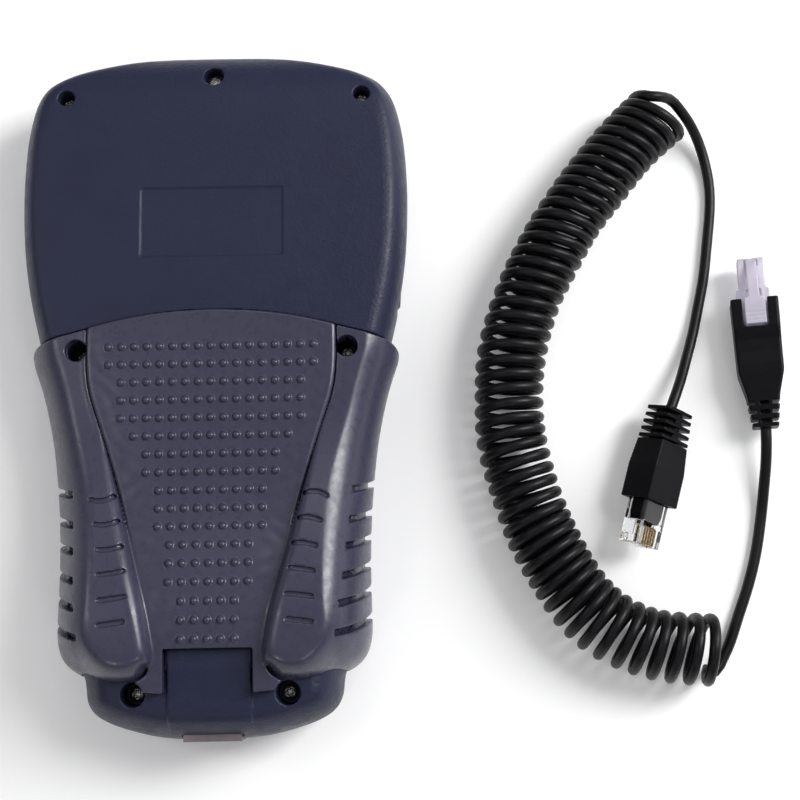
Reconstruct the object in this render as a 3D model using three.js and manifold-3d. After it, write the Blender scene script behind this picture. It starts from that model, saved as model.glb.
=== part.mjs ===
// Hand microphone with a wide display head, a soft grip on its back, a keypad on its front,
// and the detached coiled cord that plugs into the modular jack at its foot.
// Frame: +Z up. The handset lies on its front rim (z = 0) with its back facing up,
// +Y towards the head, +X to the user's push-to-talk side. Millimetres.
import * as THREE from "three";
import { mergeVertices } from "three/addons/utils/BufferGeometryUtils.js";
import Module from "manifold-3d";

const wasm = await Module();
wasm.setup();

// ---------- driving dimensions ----------
const SHIFT_Y = -0.2; // puts the middle of the handset's length on the origin
const GAP = 0.3; // clearance between touching pieces
const WALL = 2.2; // case wall
const SPLIT_Z = 14; // parting plane between front and rear case
const HEAD_Z = 28.4; // back of the head
const PANEL_Z = 29.4; // back of the grip's centre panel at its upper end
const PANEL_RISE = 5.2; // how much the panel rises towards the foot
const LOBE_Z = 28.6; // grip lobes at their upper end
const LOBE_RISE = 10.8; // how much the lobes rise towards the foot
const LOBE_EDGE_Z = 15.2; // where the lobes' side walls turn vertical
const BASE_Z = 29.6; // back of the foot
const GRIP_T = 3.0; // grip thickness over the rear case
const FACE_Z = 2.0; // front face, set back from the rim
const FACE_T = 2.0; // front wall
const RIM_W = 2.9; // flat width of the rim
const KEY_W = 11.2, KEY_H = 7.6, KEY_PITCH_X = 15, KEY_PITCH_Y = 13;
const KEY_TOP_Z = 1.0; // key faces stay 1 mm inside the rim plane
const KEY_LOW_Z = 7.2; // underside of the keys
const PAD_Y = 20; // row of keys nearest the head
const FN_Y = 37.5, FN_W = 13, FN_H = 6;
const WINDOW = [66, 30, 65.5]; // display window width, height, centre y
const BOARD_Z = [9.6, 11.2];
const SCREW_HEAD_R = 1.95, SCREW_HEAD_H = 1.7, SCREW_R = 1.2;
const JACK = { w: 15.4, h: 11, len: 16, z0: 11.5, face: -95.7 };
const PORT = { w: 9.9, h: 6.9, deep: 12.5 };
const CABLE_D = 3.1; // cord jacket
const COIL_OD = 19.8; // outside of the coiled part
const PTT = { w: 34, h: 7.6, y: 40, z: 7.6 };

// ---------- outlines, right half, head to foot ----------
const CASE_HALF = [
  [0, 95.9], [9, 95.75], [18, 95.05], [26, 93.8], [33, 92.35], [39, 90.8], [43, 89.2], [46.8, 87.0], [49.5, 84.0], [51.15, 80.6],
  [52.35, 76], [53.35, 70], [53.95, 62], [54.15, 53], [53.75, 42], [52.75, 32], [51.2, 23], [49.6, 16], [48.3, 10.7],
  [46.9, 5], [44.9, -4], [43.2, -14], [41.8, -24], [40.8, -36], [40.3, -50], [40.0, -62], [39.2, -69.5], [37.4, -75], [35.0, -78.8],
  [34.2, -84], [33.1, -87.0], [31.0, -89.2], [27.2, -91.2], [21.8, -93.0], [16, -94.4], [10.6, -95.1], [0, -95.4],
];
const GRIP_HALF = [
  [0, 19.2], [12, 18.6], [24, 16.85], [33.4, 14.6], [41, 12.6], [47.6, 10.9], [50.0, 9.7], [50.95, 8.1], [50.6, 6.0],
  [49.2, 2], [47.4, -4], [46.0, -10], [44.7, -17], [43.8, -24], [43.0, -32], [42.4, -42], [42.2, -52], [42.3, -62], [42.3, -68],
  [41.6, -72], [40.1, -75], [37.6, -77.3], [33.6, -79.3], [29, -80.4], [24.5, -80.8], [17.6, -82.4], [11.6, -82.8], [11.6, -71.5], [0, -71.5],
];
// seam between the centre panel and a lobe: y to x
const SEAM = [[22, 33.4], [0.4, 33.3], [-10.6, 30.4], [-27.5, 25.2], [-51, 18.9], [-61.7, 16.1], [-68.5, 14.8], [-73, 14.1], [-77.5, 14.6], [-80.4, 17.4], [-84, 19]];
const LOBE_EDGE = [[50.95, 8.1], [49.2, 2], [47.4, -4], [46, -10], [44.7, -17], [43.8, -24], [43, -32], [42.4, -42], [42.2, -52], [42.3, -62], [42.3, -68], [41.6, -72], [40.1, -75], [37.6, -77.3], [33.6, -79.3], [29, -80.4], [24.5, -80.8], [20, -80.6], [17, -79.6], [15, -77.4]];

// ---------- helpers ----------
const S = (t) => { t = Math.min(1, Math.max(0, t)); return t * t * (3 - 2 * t); };
const lerpTable = (tab, y) => {
  if (y >= tab[0][0]) return tab[0][1];
  for (let i = 1; i < tab.length; i++)
    if (y >= tab[i][0]) { const [y0, x0] = tab[i - 1], [y1, x1] = tab[i]; return x0 + ((x1 - x0) * (y - y0)) / (y1 - y0); }
  return tab[tab.length - 1][1];
};
const segDist = (pts, x, y) => {
  let best = 1e9;
  for (let i = 1; i < pts.length; i++) {
    const [ax, ay] = pts[i - 1], [bx, by] = pts[i];
    const dx = bx - ax, dy = by - ay;
    const t = Math.min(1, Math.max(0, ((x - ax) * dx + (y - ay) * dy) / (dx * dx + dy * dy)));
    best = Math.min(best, Math.hypot(x - ax - t * dx, y - ay - t * dy));
  }
  return best;
};
const mirror = (half) => [...half, ...half.slice().reverse().filter(([x]) => x > 1e-6).map(([x, y]) => [-x, y])];
const area = (p) => p.reduce((s, [x, y], i) => { const [u, v] = p[(i + 1) % p.length]; return s + x * v - u * y; }, 0) / 2;
const inset = (pts, d) => {
  const sgn = area(pts) > 0 ? 1 : -1, n = pts.length;
  return pts.map(([x, y], i) => {
    const [ax, ay] = pts[(i + n - 1) % n], [bx, by] = pts[(i + 1) % n];
    let n1 = [-(y - ay), x - ax], n2 = [-(by - y), bx - x];
    const l1 = Math.hypot(...n1), l2 = Math.hypot(...n2);
    n1 = [n1[0] / l1, n1[1] / l1]; n2 = [n2[0] / l2, n2[1] / l2];
    let m = [n1[0] + n2[0], n1[1] + n2[1]];
    const l = Math.hypot(...m) || 1; m = [m[0] / l, m[1] / l];
    const k = 1 / Math.max(0.55, m[0] * n1[0] + m[1] * n1[1]);
    return [x + sgn * m[0] * d * k, y + sgn * m[1] * d * k];
  });
};
const solid = (geometry) => {
  const g = geometry.clone();
  g.deleteAttribute("normal"); g.deleteAttribute("uv");
  const m = mergeVertices(g, 1e-4);
  const man = new wasm.Manifold(new wasm.Mesh({ numProp: 3, vertProperties: new Float32Array(m.attributes.position.array), triVerts: new Uint32Array(m.index.array) }));
  return man;
};
const geometryOf = (man) => {
  const m = man.getMesh(), n = m.numProp, p = new Float32Array((m.vertProperties.length / n) * 3);
  for (let i = 0; i < p.length / 3; i++) for (let k = 0; k < 3; k++) p[3 * i + k] = m.vertProperties[n * i + k];
  const g = new THREE.BufferGeometry();
  g.setAttribute("position", new THREE.BufferAttribute(p, 3));
  g.setIndex(new THREE.BufferAttribute(new Uint32Array(m.triVerts), 1));
  const flat = g.toNonIndexed(); flat.computeVertexNormals();
  return flat;
};
const raw = (verts, tris) => {
  const g = new THREE.BufferGeometry();
  g.setAttribute("position", new THREE.BufferAttribute(new Float32Array(verts.flat()), 3));
  g.setIndex(tris.flat());
  return g;
};
// prism of an outline between two heights
const prism = (pts, z0, z1) => {
  const p = area(pts) < 0 ? pts.slice().reverse() : pts;
  const shape = new THREE.Shape(p.map(([x, y]) => new THREE.Vector2(x, y)));
  return new THREE.ExtrudeGeometry(shape, { depth: z1 - z0, bevelEnabled: false, steps: 1 }).translate(0, 0, z0);
};
// skin through outlines of equal point count at rising heights, closed by flat ends
const loft = (levels) => {
  const verts = [], tris = [], n = levels[0].pts.length;
  levels.forEach(({ pts, z }) => pts.forEach(([x, y]) => verts.push([x, y, z])));
  const ccw = area(levels[0].pts) > 0;
  for (let k = 0; k + 1 < levels.length; k++)
    for (let i = 0; i < n; i++) {
      const a = k * n + i, b = k * n + ((i + 1) % n), c = a + n, d = b + n;
      if (ccw) tris.push([a, b, d], [a, d, c]); else tris.push([a, d, b], [a, c, d]);
    }
  // flat ends as fans about their middle
  for (const [k, up] of [[0, false], [levels.length - 1, true]]) {
    const { pts, z } = levels[k], c = verts.length;
    verts.push([(Math.max(...pts.map((p) => p[0])) + Math.min(...pts.map((p) => p[0]))) / 2, (Math.max(...pts.map((p) => p[1])) + Math.min(...pts.map((p) => p[1]))) / 2, z]);
    for (let i = 0; i < n; i++) {
      const a = k * n + i, b = k * n + ((i + 1) % n);
      tris.push(up === ccw ? [a, b, c] : [b, a, c]);
    }
  }
  return raw(verts, tris);
};
// block whose top follows a height function over rows of x stations
const field = (rows, xsAt, zAt, zb) => {
  const verts = [], tris = [], m = xsAt(rows[0]).length, n = rows.length;
  for (const y of rows) for (const x of xsAt(y)) verts.push([x, y, zAt(x, y)]);
  for (const y of rows) for (const x of xsAt(y)) verts.push([x, y, zb]);
  const T = (i, j) => j * m + i, B = (i, j) => n * m + j * m + i;
  // rows run downwards in y
  for (let j = 0; j + 1 < n; j++) for (let i = 0; i + 1 < m; i++) {
    tris.push([T(i, j), T(i, j + 1), T(i + 1, j + 1)], [T(i, j), T(i + 1, j + 1), T(i + 1, j)]);
    tris.push([B(i, j), B(i + 1, j + 1), B(i, j + 1)], [B(i, j), B(i + 1, j), B(i + 1, j + 1)]);
  }
  for (let i = 0; i + 1 < m; i++) {
    tris.push([T(i, 0), T(i + 1, 0), B(i + 1, 0)], [T(i, 0), B(i + 1, 0), B(i, 0)]);
    tris.push([T(i, n - 1), B(i + 1, n - 1), T(i + 1, n - 1)], [T(i, n - 1), B(i, n - 1), B(i + 1, n - 1)]);
  }
  for (let j = 0; j + 1 < n; j++) {
    tris.push([T(0, j), B(0, j + 1), T(0, j + 1)], [T(0, j), B(0, j), B(0, j + 1)]);
    tris.push([T(m - 1, j), T(m - 1, j + 1), B(m - 1, j + 1)], [T(m - 1, j), B(m - 1, j + 1), B(m - 1, j)]);
  }
  return raw(verts, tris);
};
const box = (x0, x1, y0, y1, z0, z1) => new THREE.BoxGeometry(x1 - x0, y1 - y0, z1 - z0).translate((x0 + x1) / 2, (y0 + y1) / 2, (z0 + z1) / 2);
const cyl = (x, y, r, z0, z1, seg = 20) => new THREE.CylinderGeometry(r, r, z1 - z0, seg).rotateX(Math.PI / 2).translate(x, y, (z0 + z1) / 2);
const rounded = (w, h, r, k = 3) => {
  const p = [];
  for (const [sx, sy, a0] of [[1, 1, 0], [-1, 1, 90], [-1, -1, 180], [1, -1, 270]])
    for (let i = 0; i <= k; i++) { const a = ((a0 + (90 * i) / k) * Math.PI) / 180; p.push([sx * (w / 2 - r) + r * Math.cos(a), sy * (h / 2 - r) + r * Math.sin(a)]); }
  return p;
};
const at = (pts, x, y) => pts.map(([u, v]) => [u + x, v + y]);
// joins corners closer together than a tool could hold, so no sliver is left between two cuts
const welded = (man, near) => {
  const m = man.getMesh(), k = m.numProp, n = m.vertProperties.length / k, P = [], own = [];
  for (let i = 0; i < n; i++) {
    const p = [m.vertProperties[k * i], m.vertProperties[k * i + 1], m.vertProperties[k * i + 2]];
    let j = P.findIndex((q) => Math.hypot(q[0] - p[0], q[1] - p[1], q[2] - p[2]) < near);
    if (j < 0) { j = P.length; P.push(p); }
    own.push(j);
  }
  const tris = [];
  for (let t = 0; t < m.triVerts.length; t += 3) {
    const [a, b, c] = [own[m.triVerts[t]], own[m.triVerts[t + 1]], own[m.triVerts[t + 2]]];
    if (a !== b && b !== c && a !== c) tris.push([a, b, c]);
  }
  const flat = raw(P, tris).toNonIndexed();
  flat.computeVertexNormals();
  return flat;
};
// drops slivers that no tool could hold
const tidy = (man) => man.asOriginal().setTolerance(0.006);
const sum = (list) => list.reduce((a, b) => a.add(b));

// ---------- height functions ----------
const panelZ = (y) => PANEL_Z + PANEL_RISE * S((-30 - y) / 34) - 1.0 * S((-66 - y) / 17);
const crestZ = (y) => LOBE_Z + LOBE_RISE * S((-5 - y) / 65);
const seamX = (y) => lerpTable(SEAM, y);
const edgeX = (y) => { // outer half width of the grip
  const side = GRIP_HALF.slice(7, 25);
  if (y >= side[0][1]) return side[0][0];
  for (let i = 1; i < side.length; i++) if (y >= side[i][1]) { const [x0, y0] = side[i - 1], [x1, y1] = side[i]; return x0 + ((x1 - x0) * (y - y0)) / (y1 - y0); }
  return side[side.length - 1][0];
};
const outerW = (y) => 8.5 + 3.5 * S((-5 - y) / 30);
const innerW = (y) => 1.6 + 2.6 * S((-10 - y) / 55);
const gripZ = (x, y) => {
  const ax = Math.abs(x), zp = panelZ(y), v = ax - seamX(y);
  if (v <= 0) return zp;
  const zl = crestZ(y), wi = innerW(y), wo = outerW(y);
  let z = zl;
  if (zl > zp && v < wi) z = zp + (zl - zp) * Math.sqrt(1 - (1 - v / wi) ** 2);
  const inside = ax < edgeX(y) && y > -80.8;
  const d = inside ? segDist(LOBE_EDGE, ax, y) : 0;
  if (d < wo) { const t = 1 - d / wo; z = Math.min(z, LOBE_EDGE_Z + (zl - LOBE_EDGE_Z) * Math.sqrt(1 - t * t)); }
  return z;
};
const gripRows = [21, 15, 10.5, 8.2, 4, 0.4, -6, -12, -19, -27.5, -35, -43, -51, -57, -62, -67, -71, -74, -76.5, -78.5, -80, -84];
const gripXs = (y) => {
  const s = seamX(y), e = Math.max(edgeX(y), s + 8), wi = innerW(y), wo = Math.min(outerW(y), (e - s) * 0.5);
  const h = [s * 0.5, s - 0.02, s + wi * 0.4, s + wi, e - wo, e - wo * 0.55, e - wo * 0.2, e - 0.15, e + 3];
  for (let i = 1; i < h.length; i++) if (h[i] <= h[i - 1] + 0.05) h[i] = h[i - 1] + 0.05;
  return [...h.slice().reverse().map((v) => -v), 0, ...h];
};
const hollowRows = [21, 8, -12, -27.5, -43, -57, -67, -76.5, -84];
const hollowXs = (y) => {
  const s = seamX(y), e = Math.max(edgeX(y), s + 8), h = [s - 0.02, s + innerW(y), e - outerW(y), e - outerW(y) * 0.4, e + 3];
  for (let i = 1; i < h.length; i++) if (h[i] <= h[i - 1] + 0.05) h[i] = h[i - 1] + 0.05;
  return [...h.slice().reverse().map((v) => -v), 0, ...h];
};
const caseOutline = mirror(CASE_HALF);
const headArc = (x) => { const a = Math.abs(x); return a < 33.4 ? 19.2 - 0.00412 * a * a : 14.6 - 0.262 * (a - 33.4); };
const headHalf = CASE_HALF.slice(0, 19);
const headOutline = (up) => mirror([...headHalf, ...[44, 38, 33.4, 24, 12, 0].map((x) => [x, headArc(x) + up])]);
const baseOutline = mirror([[0, -70.5], [20, -70.5], [34.5, -70.5], [35.0, -76], [35.1, -79.5], ...CASE_HALF.slice(29)]);
// slab with a rounded upper edge: outline inset step by step
const domed = (pts, z0, steps, grow) => solid(loft([{ pts: inset(pts, -grow), z: z0 }, ...steps.map(([d, z]) => ({ pts: inset(pts, d - grow), z: z + grow }))]));
// side profile (y, z) swept right across the object
const across = (profile) => solid(new THREE.ExtrudeGeometry(new THREE.Shape(profile.map(([y, z]) => new THREE.Vector2(y, z))), { depth: 140, bevelEnabled: false })
  .applyMatrix4(new THREE.Matrix4().makeBasis(new THREE.Vector3(0, 1, 0), new THREE.Vector3(0, 0, 1), new THREE.Vector3(1, 0, 0))).translate(-70, 0, 0));
const headTop = (up) => across([[100, 0], [100, 17 + up], [96.4, 17.6 + up], [94.3, 21.5 + up], [92.5, 23.6 + up], [90, 25.3 + up], [87, 26.5 + up], [83, 27.6 + up], [77, HEAD_Z - 0.1 + up], [0, HEAD_Z + 0.2 + up], [0, 0]]);
const HEAD_EDGE = [[0, 17.5], [0.35, 20.2], [0.9, 22.4], [1.8, 24.6], [3.1, 26.6], [4.8, 28], [6.8, HEAD_Z + 0.2]];
const BASE_EDGE = [[0, 16.6], [0.45, 19.2], [1.2, 21.8], [2.4, 24.4], [4.0, 26.8], [6.0, 28.7], [8.2, BASE_Z]];

// ---------- screws ----------
const SCREWS = {
  top_centre: { x: 0.2, y: 87.3, r: 2.8, seat: 20.4, boss: 4.2 },
  top_left: { x: -40.9, y: 80.9, r: 2.3, seat: 21.2, boss: 3.7 },
  top_right: { x: 41.7, y: 80.9, r: 2.3, seat: 21.2, boss: 3.7 },
  middle_left: { x: -36.7, y: 8.5, r: 2.85, seat: 16.8, boss: 4.2 },
  middle_right: { x: 36.7, y: 8.5, r: 2.85, seat: 16.8, boss: 4.2 },
  lower_left: { x: -19.9, y: -83.1, r: 3.2, seat: 20.6, boss: 4.47 },
  lower_right: { x: 20.4, y: -83.3, r: 3.2, seat: 20.6, boss: 4.47 },
};

// ---------- rear case ----------
// outer body of the rear case, optionally grown for clearance, and its hollow
const rearBody = (grow, z0) => {
  const head = domed(headOutline(-6), z0, HEAD_EDGE, grow).intersect(headTop(grow)).intersect(solid(prism(headOutline(0.15 - grow).map(([x, y]) => [x * 1.1, y > 60 ? y * 1.1 : y]), z0 - 1, 60)));
  const waist = solid(field(gripRows, gripXs, (x, y) => gripZ(x, y) + grow - GRIP_T, z0)).intersect(solid(prism(inset(mirror([[0, 24], [44, 24], [46, 14], ...GRIP_HALF.slice(8, 24).map(([x, y]) => [x - 3.2, Math.max(y, -77)]), [0, -77]]), -grow), z0 - 1, 60)));
  const base = domed(caseOutline, z0, BASE_EDGE, grow).intersect(solid(prism(mirror([[0, -70.5 + grow], [35.1 + grow, -70.5 + grow], [35.1 + grow, -99], [0, -99]]), z0 - 1, 60)));
  const tongue = domed(caseOutline, z0, BASE_EDGE.map(([d, z]) => [d, z + 0.5]).concat([[9.4, BASE_Z + 1.8]]), grow)
    .intersect(across([[-99, 0], [-99, 60], [-88, BASE_Z + 0.5 + grow], [-82, BASE_Z + 0.9 + grow], [-77, BASE_Z + 1.7 + grow], [-71.9 + grow, BASE_Z + 1.8 + grow], [-71.9 + grow, 0]]))
    .intersect(solid(box(-10.9 - grow, 10.9 + grow, -99, -60, z0 - 1, 60)));
  return sum([head, waist, base, tongue]);
};
const rearHollow = () => {
  const head = domed(inset(headOutline(0), WALL), 7, HEAD_EDGE.map(([d, z]) => [d, z - WALL]), 0).intersect(headTop(-WALL));
  const waist = solid(field(hollowRows, hollowXs, (x, y) => gripZ(x, y) - GRIP_T - WALL - 0.3, 8)).intersect(solid(prism(mirror([[0, 19], [40, 19], [43.0, 14], ...GRIP_HALF.slice(9, 22).map(([x, y]) => [x - 5.4, Math.max(y, -75)]), [0, -75]]), 7, 60)));
  const link = solid(box(-32, 32, 10, 22, 7, 25.2));
  const base = domed(inset(caseOutline, WALL), 7, BASE_EDGE.map(([d, z]) => [d, z - WALL]), 0).intersect(solid(box(-60, 60, -99, -73, 0, 60)));
  return sum([head, waist, link, base, solid(box(-14, 14, -78, -66, 7, 26.9))]);
};
const jackCut = () => solid(box(-JACK.w / 2 - GAP, JACK.w / 2 + GAP, -99, JACK.face + JACK.len + GAP, JACK.z0 - GAP, JACK.z0 + JACK.h + GAP));
let rear = rearBody(0, SPLIT_Z + GAP).subtract(rearHollow());
for (const s of Object.values(SCREWS)) {
  const clip = rearBody(0, SPLIT_Z + GAP);
  rear = rear.add(solid(cyl(s.x, s.y, s.boss, SPLIT_Z + GAP, 50)).intersect(clip));
  rear = rear.subtract(solid(cyl(s.x, s.y, s.r, s.seat, 60, 18))).subtract(solid(cyl(s.x, s.y, 1.6, 5, 60, 12)));
}
rear = tidy(rear.subtract(jackCut()));

// ---------- grip cover ----------
let grip = solid(field(gripRows, gripXs, gripZ, SPLIT_Z + GAP)).intersect(solid(prism(mirror(GRIP_HALF), 5, 60))).subtract(rearBody(GAP, SPLIT_Z - 2));
for (const k of ["middle_left", "middle_right", "lower_left", "lower_right"]) {
  const s = SCREWS[k];
  grip = grip.subtract(solid(cyl(s.x, s.y, s.r + 0.1, 5, 60, 18)));
}

grip = tidy(grip);

// ---------- front case ----------
const keyCells = [];
const NAMES = [["1", "2", "3", "a"], ["4", "5", "6", "b"], ["7", "8", "9", "c"], ["star", "0", "hash", "d"]];
// seen from the front the columns run the other way, so key 1 is on the +X side
NAMES.forEach((row, j) => row.forEach((n, i) => keyCells.push({ name: "key_" + n, x: KEY_PITCH_X * (1.5 - i), y: PAD_Y - KEY_PITCH_Y * j, w: KEY_W, h: KEY_H })));
for (let i = 0; i < 4; i++) keyCells.push({ name: "key_f" + (i + 1), x: 17 * (1.5 - i), y: FN_Y, w: FN_W, h: FN_H });
let front = solid(loft([
  { pts: inset(caseOutline, 2.6), z: 0 }, { pts: inset(caseOutline, 0.9), z: 1.8 }, { pts: inset(caseOutline, 0.15), z: 4.6 }, { pts: caseOutline, z: 8 }, { pts: caseOutline, z: SPLIT_Z },
]));
front = front.subtract(solid(prism(inset(caseOutline, 2.6 + RIM_W), -5, FACE_Z)));
front = front.subtract(solid(prism(inset(caseOutline, WALL + 0.4), FACE_Z + FACE_T, SPLIT_Z + 5)));
for (const s of Object.values(SCREWS)) {
  const b = solid(cyl(s.x, s.y, 3.2, FACE_Z + 0.5, SPLIT_Z - 0.2, 16)).intersect(solid(prism(inset(caseOutline, 0.6), 0, 40)));
  front = front.add(b).subtract(solid(cyl(s.x, s.y, 1.55, 6, 30, 12)));
}
for (const k of keyCells) front = front.subtract(solid(prism(at(rounded(k.w + 2 * GAP, k.h + 2 * GAP, 1.4, 1), k.x, k.y), -2, 6)));
front = front.subtract(solid(prism(at(rounded(WINDOW[0] + 2 * GAP, WINDOW[1] + 2 * GAP, 2.5, 2), 0, WINDOW[2]), -2, 6)));
for (const dy of [-6, -3, 0, 3, 6]) front = front.subtract(solid(prism(at(rounded(Math.abs(dy) > 5 ? 8 : 13, 1.2, 0.59, 2), 0, -57 + dy), -2, 4.2)));
front = front.subtract(jackCut());

// ---------- push-to-talk bar, its frame leans with the side wall ----------
const pttFrame = new THREE.Group();
pttFrame.position.set(53.05, PTT.y, PTT.z);
pttFrame.rotation.z = THREE.MathUtils.degToRad(-4.2);
const placed = (g, group) => { group.updateMatrix(); return g.clone().applyMatrix4(group.matrix); };
const pttSlot = () => solid(placed(box(-9, 4, -PTT.w / 2 - 0.4, PTT.w / 2 + 0.4, -PTT.h / 2 - 0.4, PTT.h / 2 + 0.4), pttFrame));
front = front.subtract(pttSlot());
const pttBar = solid(loft([
  { pts: rounded(PTT.w, PTT.h, 2.4), z: 0 }, { pts: rounded(PTT.w, PTT.h, 2.4), z: 3.6 }, { pts: rounded(PTT.w - 2.2, PTT.h - 2.2, 1.8), z: 4.6 },
])).add(solid(new THREE.BoxGeometry(PTT.w + 3, PTT.h - 0.6, 1.2).translate(0, 0, 0.3))).add(solid(cyl(0, 0, 1.4, -1.2, 0.5, 12)));
// bar built along its own z, turned so that its face looks out along +X
const pttGeometry = geometryOf(pttBar).applyMatrix4(new THREE.Matrix4().makeBasis(new THREE.Vector3(0, 1, 0), new THREE.Vector3(0, 0, 1), new THREE.Vector3(1, 0, 0))).translate(-4.9, 0, 0);

// ---------- finishes ----------
const finish = {
  navy: ["#2b2f45", 0.62, 0], slate: ["#4b4a5e", 0.42, 0], key: ["#c9cbd2", 0.55, 0], dark: ["#17181c", 0.5, 0], screw: ["#b9bbbf", 0.28, 1],
  clear: ["#dfe6ea", 0.08, 0], board: ["#1f5a3a", 0.5, 0], gold: ["#d9a441", 0.25, 1], black: ["#0e0e10", 0.55, 0], steel: ["#a9abae", 0.3, 1],
  frosted: ["#cfc9dc", 0.3, 0], rubber: ["#2a2a2d", 0.8, 0], glass: ["#8f9a86", 0.1, 0], white: ["#e8e8e4", 0.5, 0],
};
const mats = Object.fromEntries(Object.entries(finish).map(([k, [color, roughness, metalness]]) => [k, new THREE.MeshStandardMaterial({ color, roughness, metalness })]));
const mic = new THREE.Group();
mic.position.y = SHIFT_Y;
const put = (name, geometry, finishName, group = mic) => {
  const mesh = new THREE.Mesh(geometry.isBufferGeometry ? geometry : geometryOf(geometry), mats[finishName]);
  mesh.name = name;
  group.add(mesh);
  return mesh;
};
put("rear_case", welded(rear, 0.015), "navy");
put("grip_cover", grip, "slate");
put("front_case", front, "navy");

// ---------- keys: face, skirt held behind the front wall ----------
for (const k of keyCells) {
  const body = solid(loft([
    { pts: rounded(k.w - 1, k.h - 1, 1.2, 1), z: KEY_TOP_Z }, { pts: rounded(k.w, k.h, 1.4, 1), z: KEY_TOP_Z + 0.6 }, { pts: rounded(k.w, k.h, 1.4, 1), z: KEY_LOW_Z },
  ])).add(solid(box(-k.w / 2 - 0.9, k.w / 2 + 0.9, -k.h / 2 - 0.9, k.h / 2 + 0.9, 4.4, 5.4)));
  const mesh = put(k.name, body, "key");
  mesh.position.set(k.x, k.y, 0);
}
put("keypad_mat", prism(mirror([[0, 42.4], [34.6, 42.4], [34.6, 25.6], [29.6, 24.6], [29.6, -23.8], [0, -23.8]]), 8.3, 9.3), "rubber");

// ---------- display ----------
const ring = (w, h, r, wi, hi, ri, z0, z1, y) => solid(prism(at(rounded(w, h, r, 2), 0, y), z0, z1)).subtract(solid(prism(at(rounded(wi, hi, ri, 2), 0, y), z0 - 1, z1 + 1)));
put("display_window", prism(at(rounded(WINDOW[0], WINDOW[1], 2.2, 2), 0, WINDOW[2]), 2.3, 3.8), "clear");
put("display_frame", ring(67, 31, 2, 61.6, 26.2, 0.8, 4.3, 9.3, WINDOW[2]), "dark");
put("display_glass", box(-30.5, 30.5, WINDOW[2] - 12.8, WINDOW[2] + 12.8, 4.6, 6.6), "glass");
put("display_backlight", box(-30.2, 30.2, WINDOW[2] - 12.5, WINDOW[2] + 12.5, 6.9, 9.2), "white");
const ribbonShape = [[80.0, 11.6], [83.9, 11.6], [83.9, 6.6], [82.5, 6.6], [82.5, 6.2], [84.3, 6.2], [84.3, 12.0], [80.0, 12.0]];
put("display_ribbon", new THREE.ExtrudeGeometry(new THREE.Shape(ribbonShape.map(([y, z]) => new THREE.Vector2(y, z))), { depth: 20, bevelEnabled: false })
  .applyMatrix4(new THREE.Matrix4().makeBasis(new THREE.Vector3(0, 1, 0), new THREE.Vector3(0, 0, 1), new THREE.Vector3(1, 0, 0))).translate(-26, 0, 0), "gold");

// ---------- boards and electronics ----------
const boardHalf = [[0, 82.6], [36, 82.6], [36, 75.5], [46.5, 75.5], [46.5, 62], [40.8, 59.5], [40.8, 20], [31.5, 17], [31.5, 0], [33.5, -6], [34, -40], [33, -68], [15.6, -72], [15.6, -91.2], [0, -91.2]];
let board = solid(prism(mirror(boardHalf), BOARD_Z[0], BOARD_Z[1]));
for (const [x, y] of [[-26, -64], [26, -64]]) board = board.subtract(solid(cyl(x, y, 1.3, 5, 20, 10)));
put("main_board", board, "board");
put("controller_chip", prism(at(rounded(12, 12, 0.6, 1), -12, 36), BOARD_Z[1] + GAP, BOARD_Z[1] + GAP + 1.4), "dark");
put("audio_chip", prism(at(rounded(5.2, 6.4, 0.4, 1), 10, -38), BOARD_Z[1] + GAP, BOARD_Z[1] + GAP + 1.5), "dark");
for (const [n, x] of [["left", -26], ["right", 26]]) {
  // the board hangs on two posts that stand on the front wall
  const s = solid(cyl(x, -64, 2.0, BOARD_Z[1] + GAP, BOARD_Z[1] + GAP + 1.3, 14)).add(solid(cyl(x, -64, 0.95, 6.5, BOARD_Z[1] + 0.5, 10)));
  put("board_screw_" + n, s, "screw");
}

// ---------- microphone capsule ----------
put("mic_capsule", new THREE.LatheGeometry([[0, 4.7], [4.6, 4.7], [4.85, 4.95], [4.85, 9.0], [4.6, 9.2], [0, 9.2]].map(([r, z]) => new THREE.Vector2(r, z)), 18).rotateX(Math.PI / 2).translate(0, -57, 0), "steel");
put("mic_boot", solid(cyl(0, -57, 6.6, 4.3, 9.3, 18)).subtract(solid(cyl(0, -57, 5.2, 3, 12, 18))), "rubber");

// ---------- push-to-talk ----------
mic.add(pttFrame);
put("ptt_bar", pttGeometry, "rubber", pttFrame);
const pttSwitch = solid(new THREE.BoxGeometry(3.4, 6.2, 5.4).translate(-9.5, 0, 0)).add(solid(new THREE.CylinderGeometry(1.5, 1.5, 0.6, 12).rotateZ(Math.PI / 2).translate(-7.6, 0, 0)));
put("ptt_switch", pttSwitch, "dark", pttFrame);

// ---------- jack ----------
const jz0 = JACK.z0, jz1 = JACK.z0 + JACK.h, jx = JACK.w / 2, jf = JACK.face;
put("jack_shield", solid(box(-jx, jx, jf, jf + JACK.len, jz0, jz1)).subtract(solid(box(-jx + 0.45, jx - 0.45, jf - 1, jf + JACK.len - 0.45, jz0 + 0.45, jz1 - 0.45))), "steel");
const portZ = jz0 + 2.9; // floor of the socket
put("jack_insert", solid(box(-jx + 0.75, jx - 0.75, jf + 0.5, jf + JACK.len - 0.8, jz0 + 0.75, jz1 - 0.75))
  .subtract(solid(box(-PORT.w / 2, PORT.w / 2, jf - 1, jf + 0.5 + PORT.deep, portZ, portZ + PORT.h)))
  .subtract(solid(box(-3.2, 3.2, jf - 1, jf + 9, jz0 + 1.4, portZ + 1))), "black");
let jackPins = solid(box(-4.3, 4.3, jf + 11.0, jf + 12.2, portZ + PORT.h - 1.4, portZ + PORT.h - 0.35));
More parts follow.
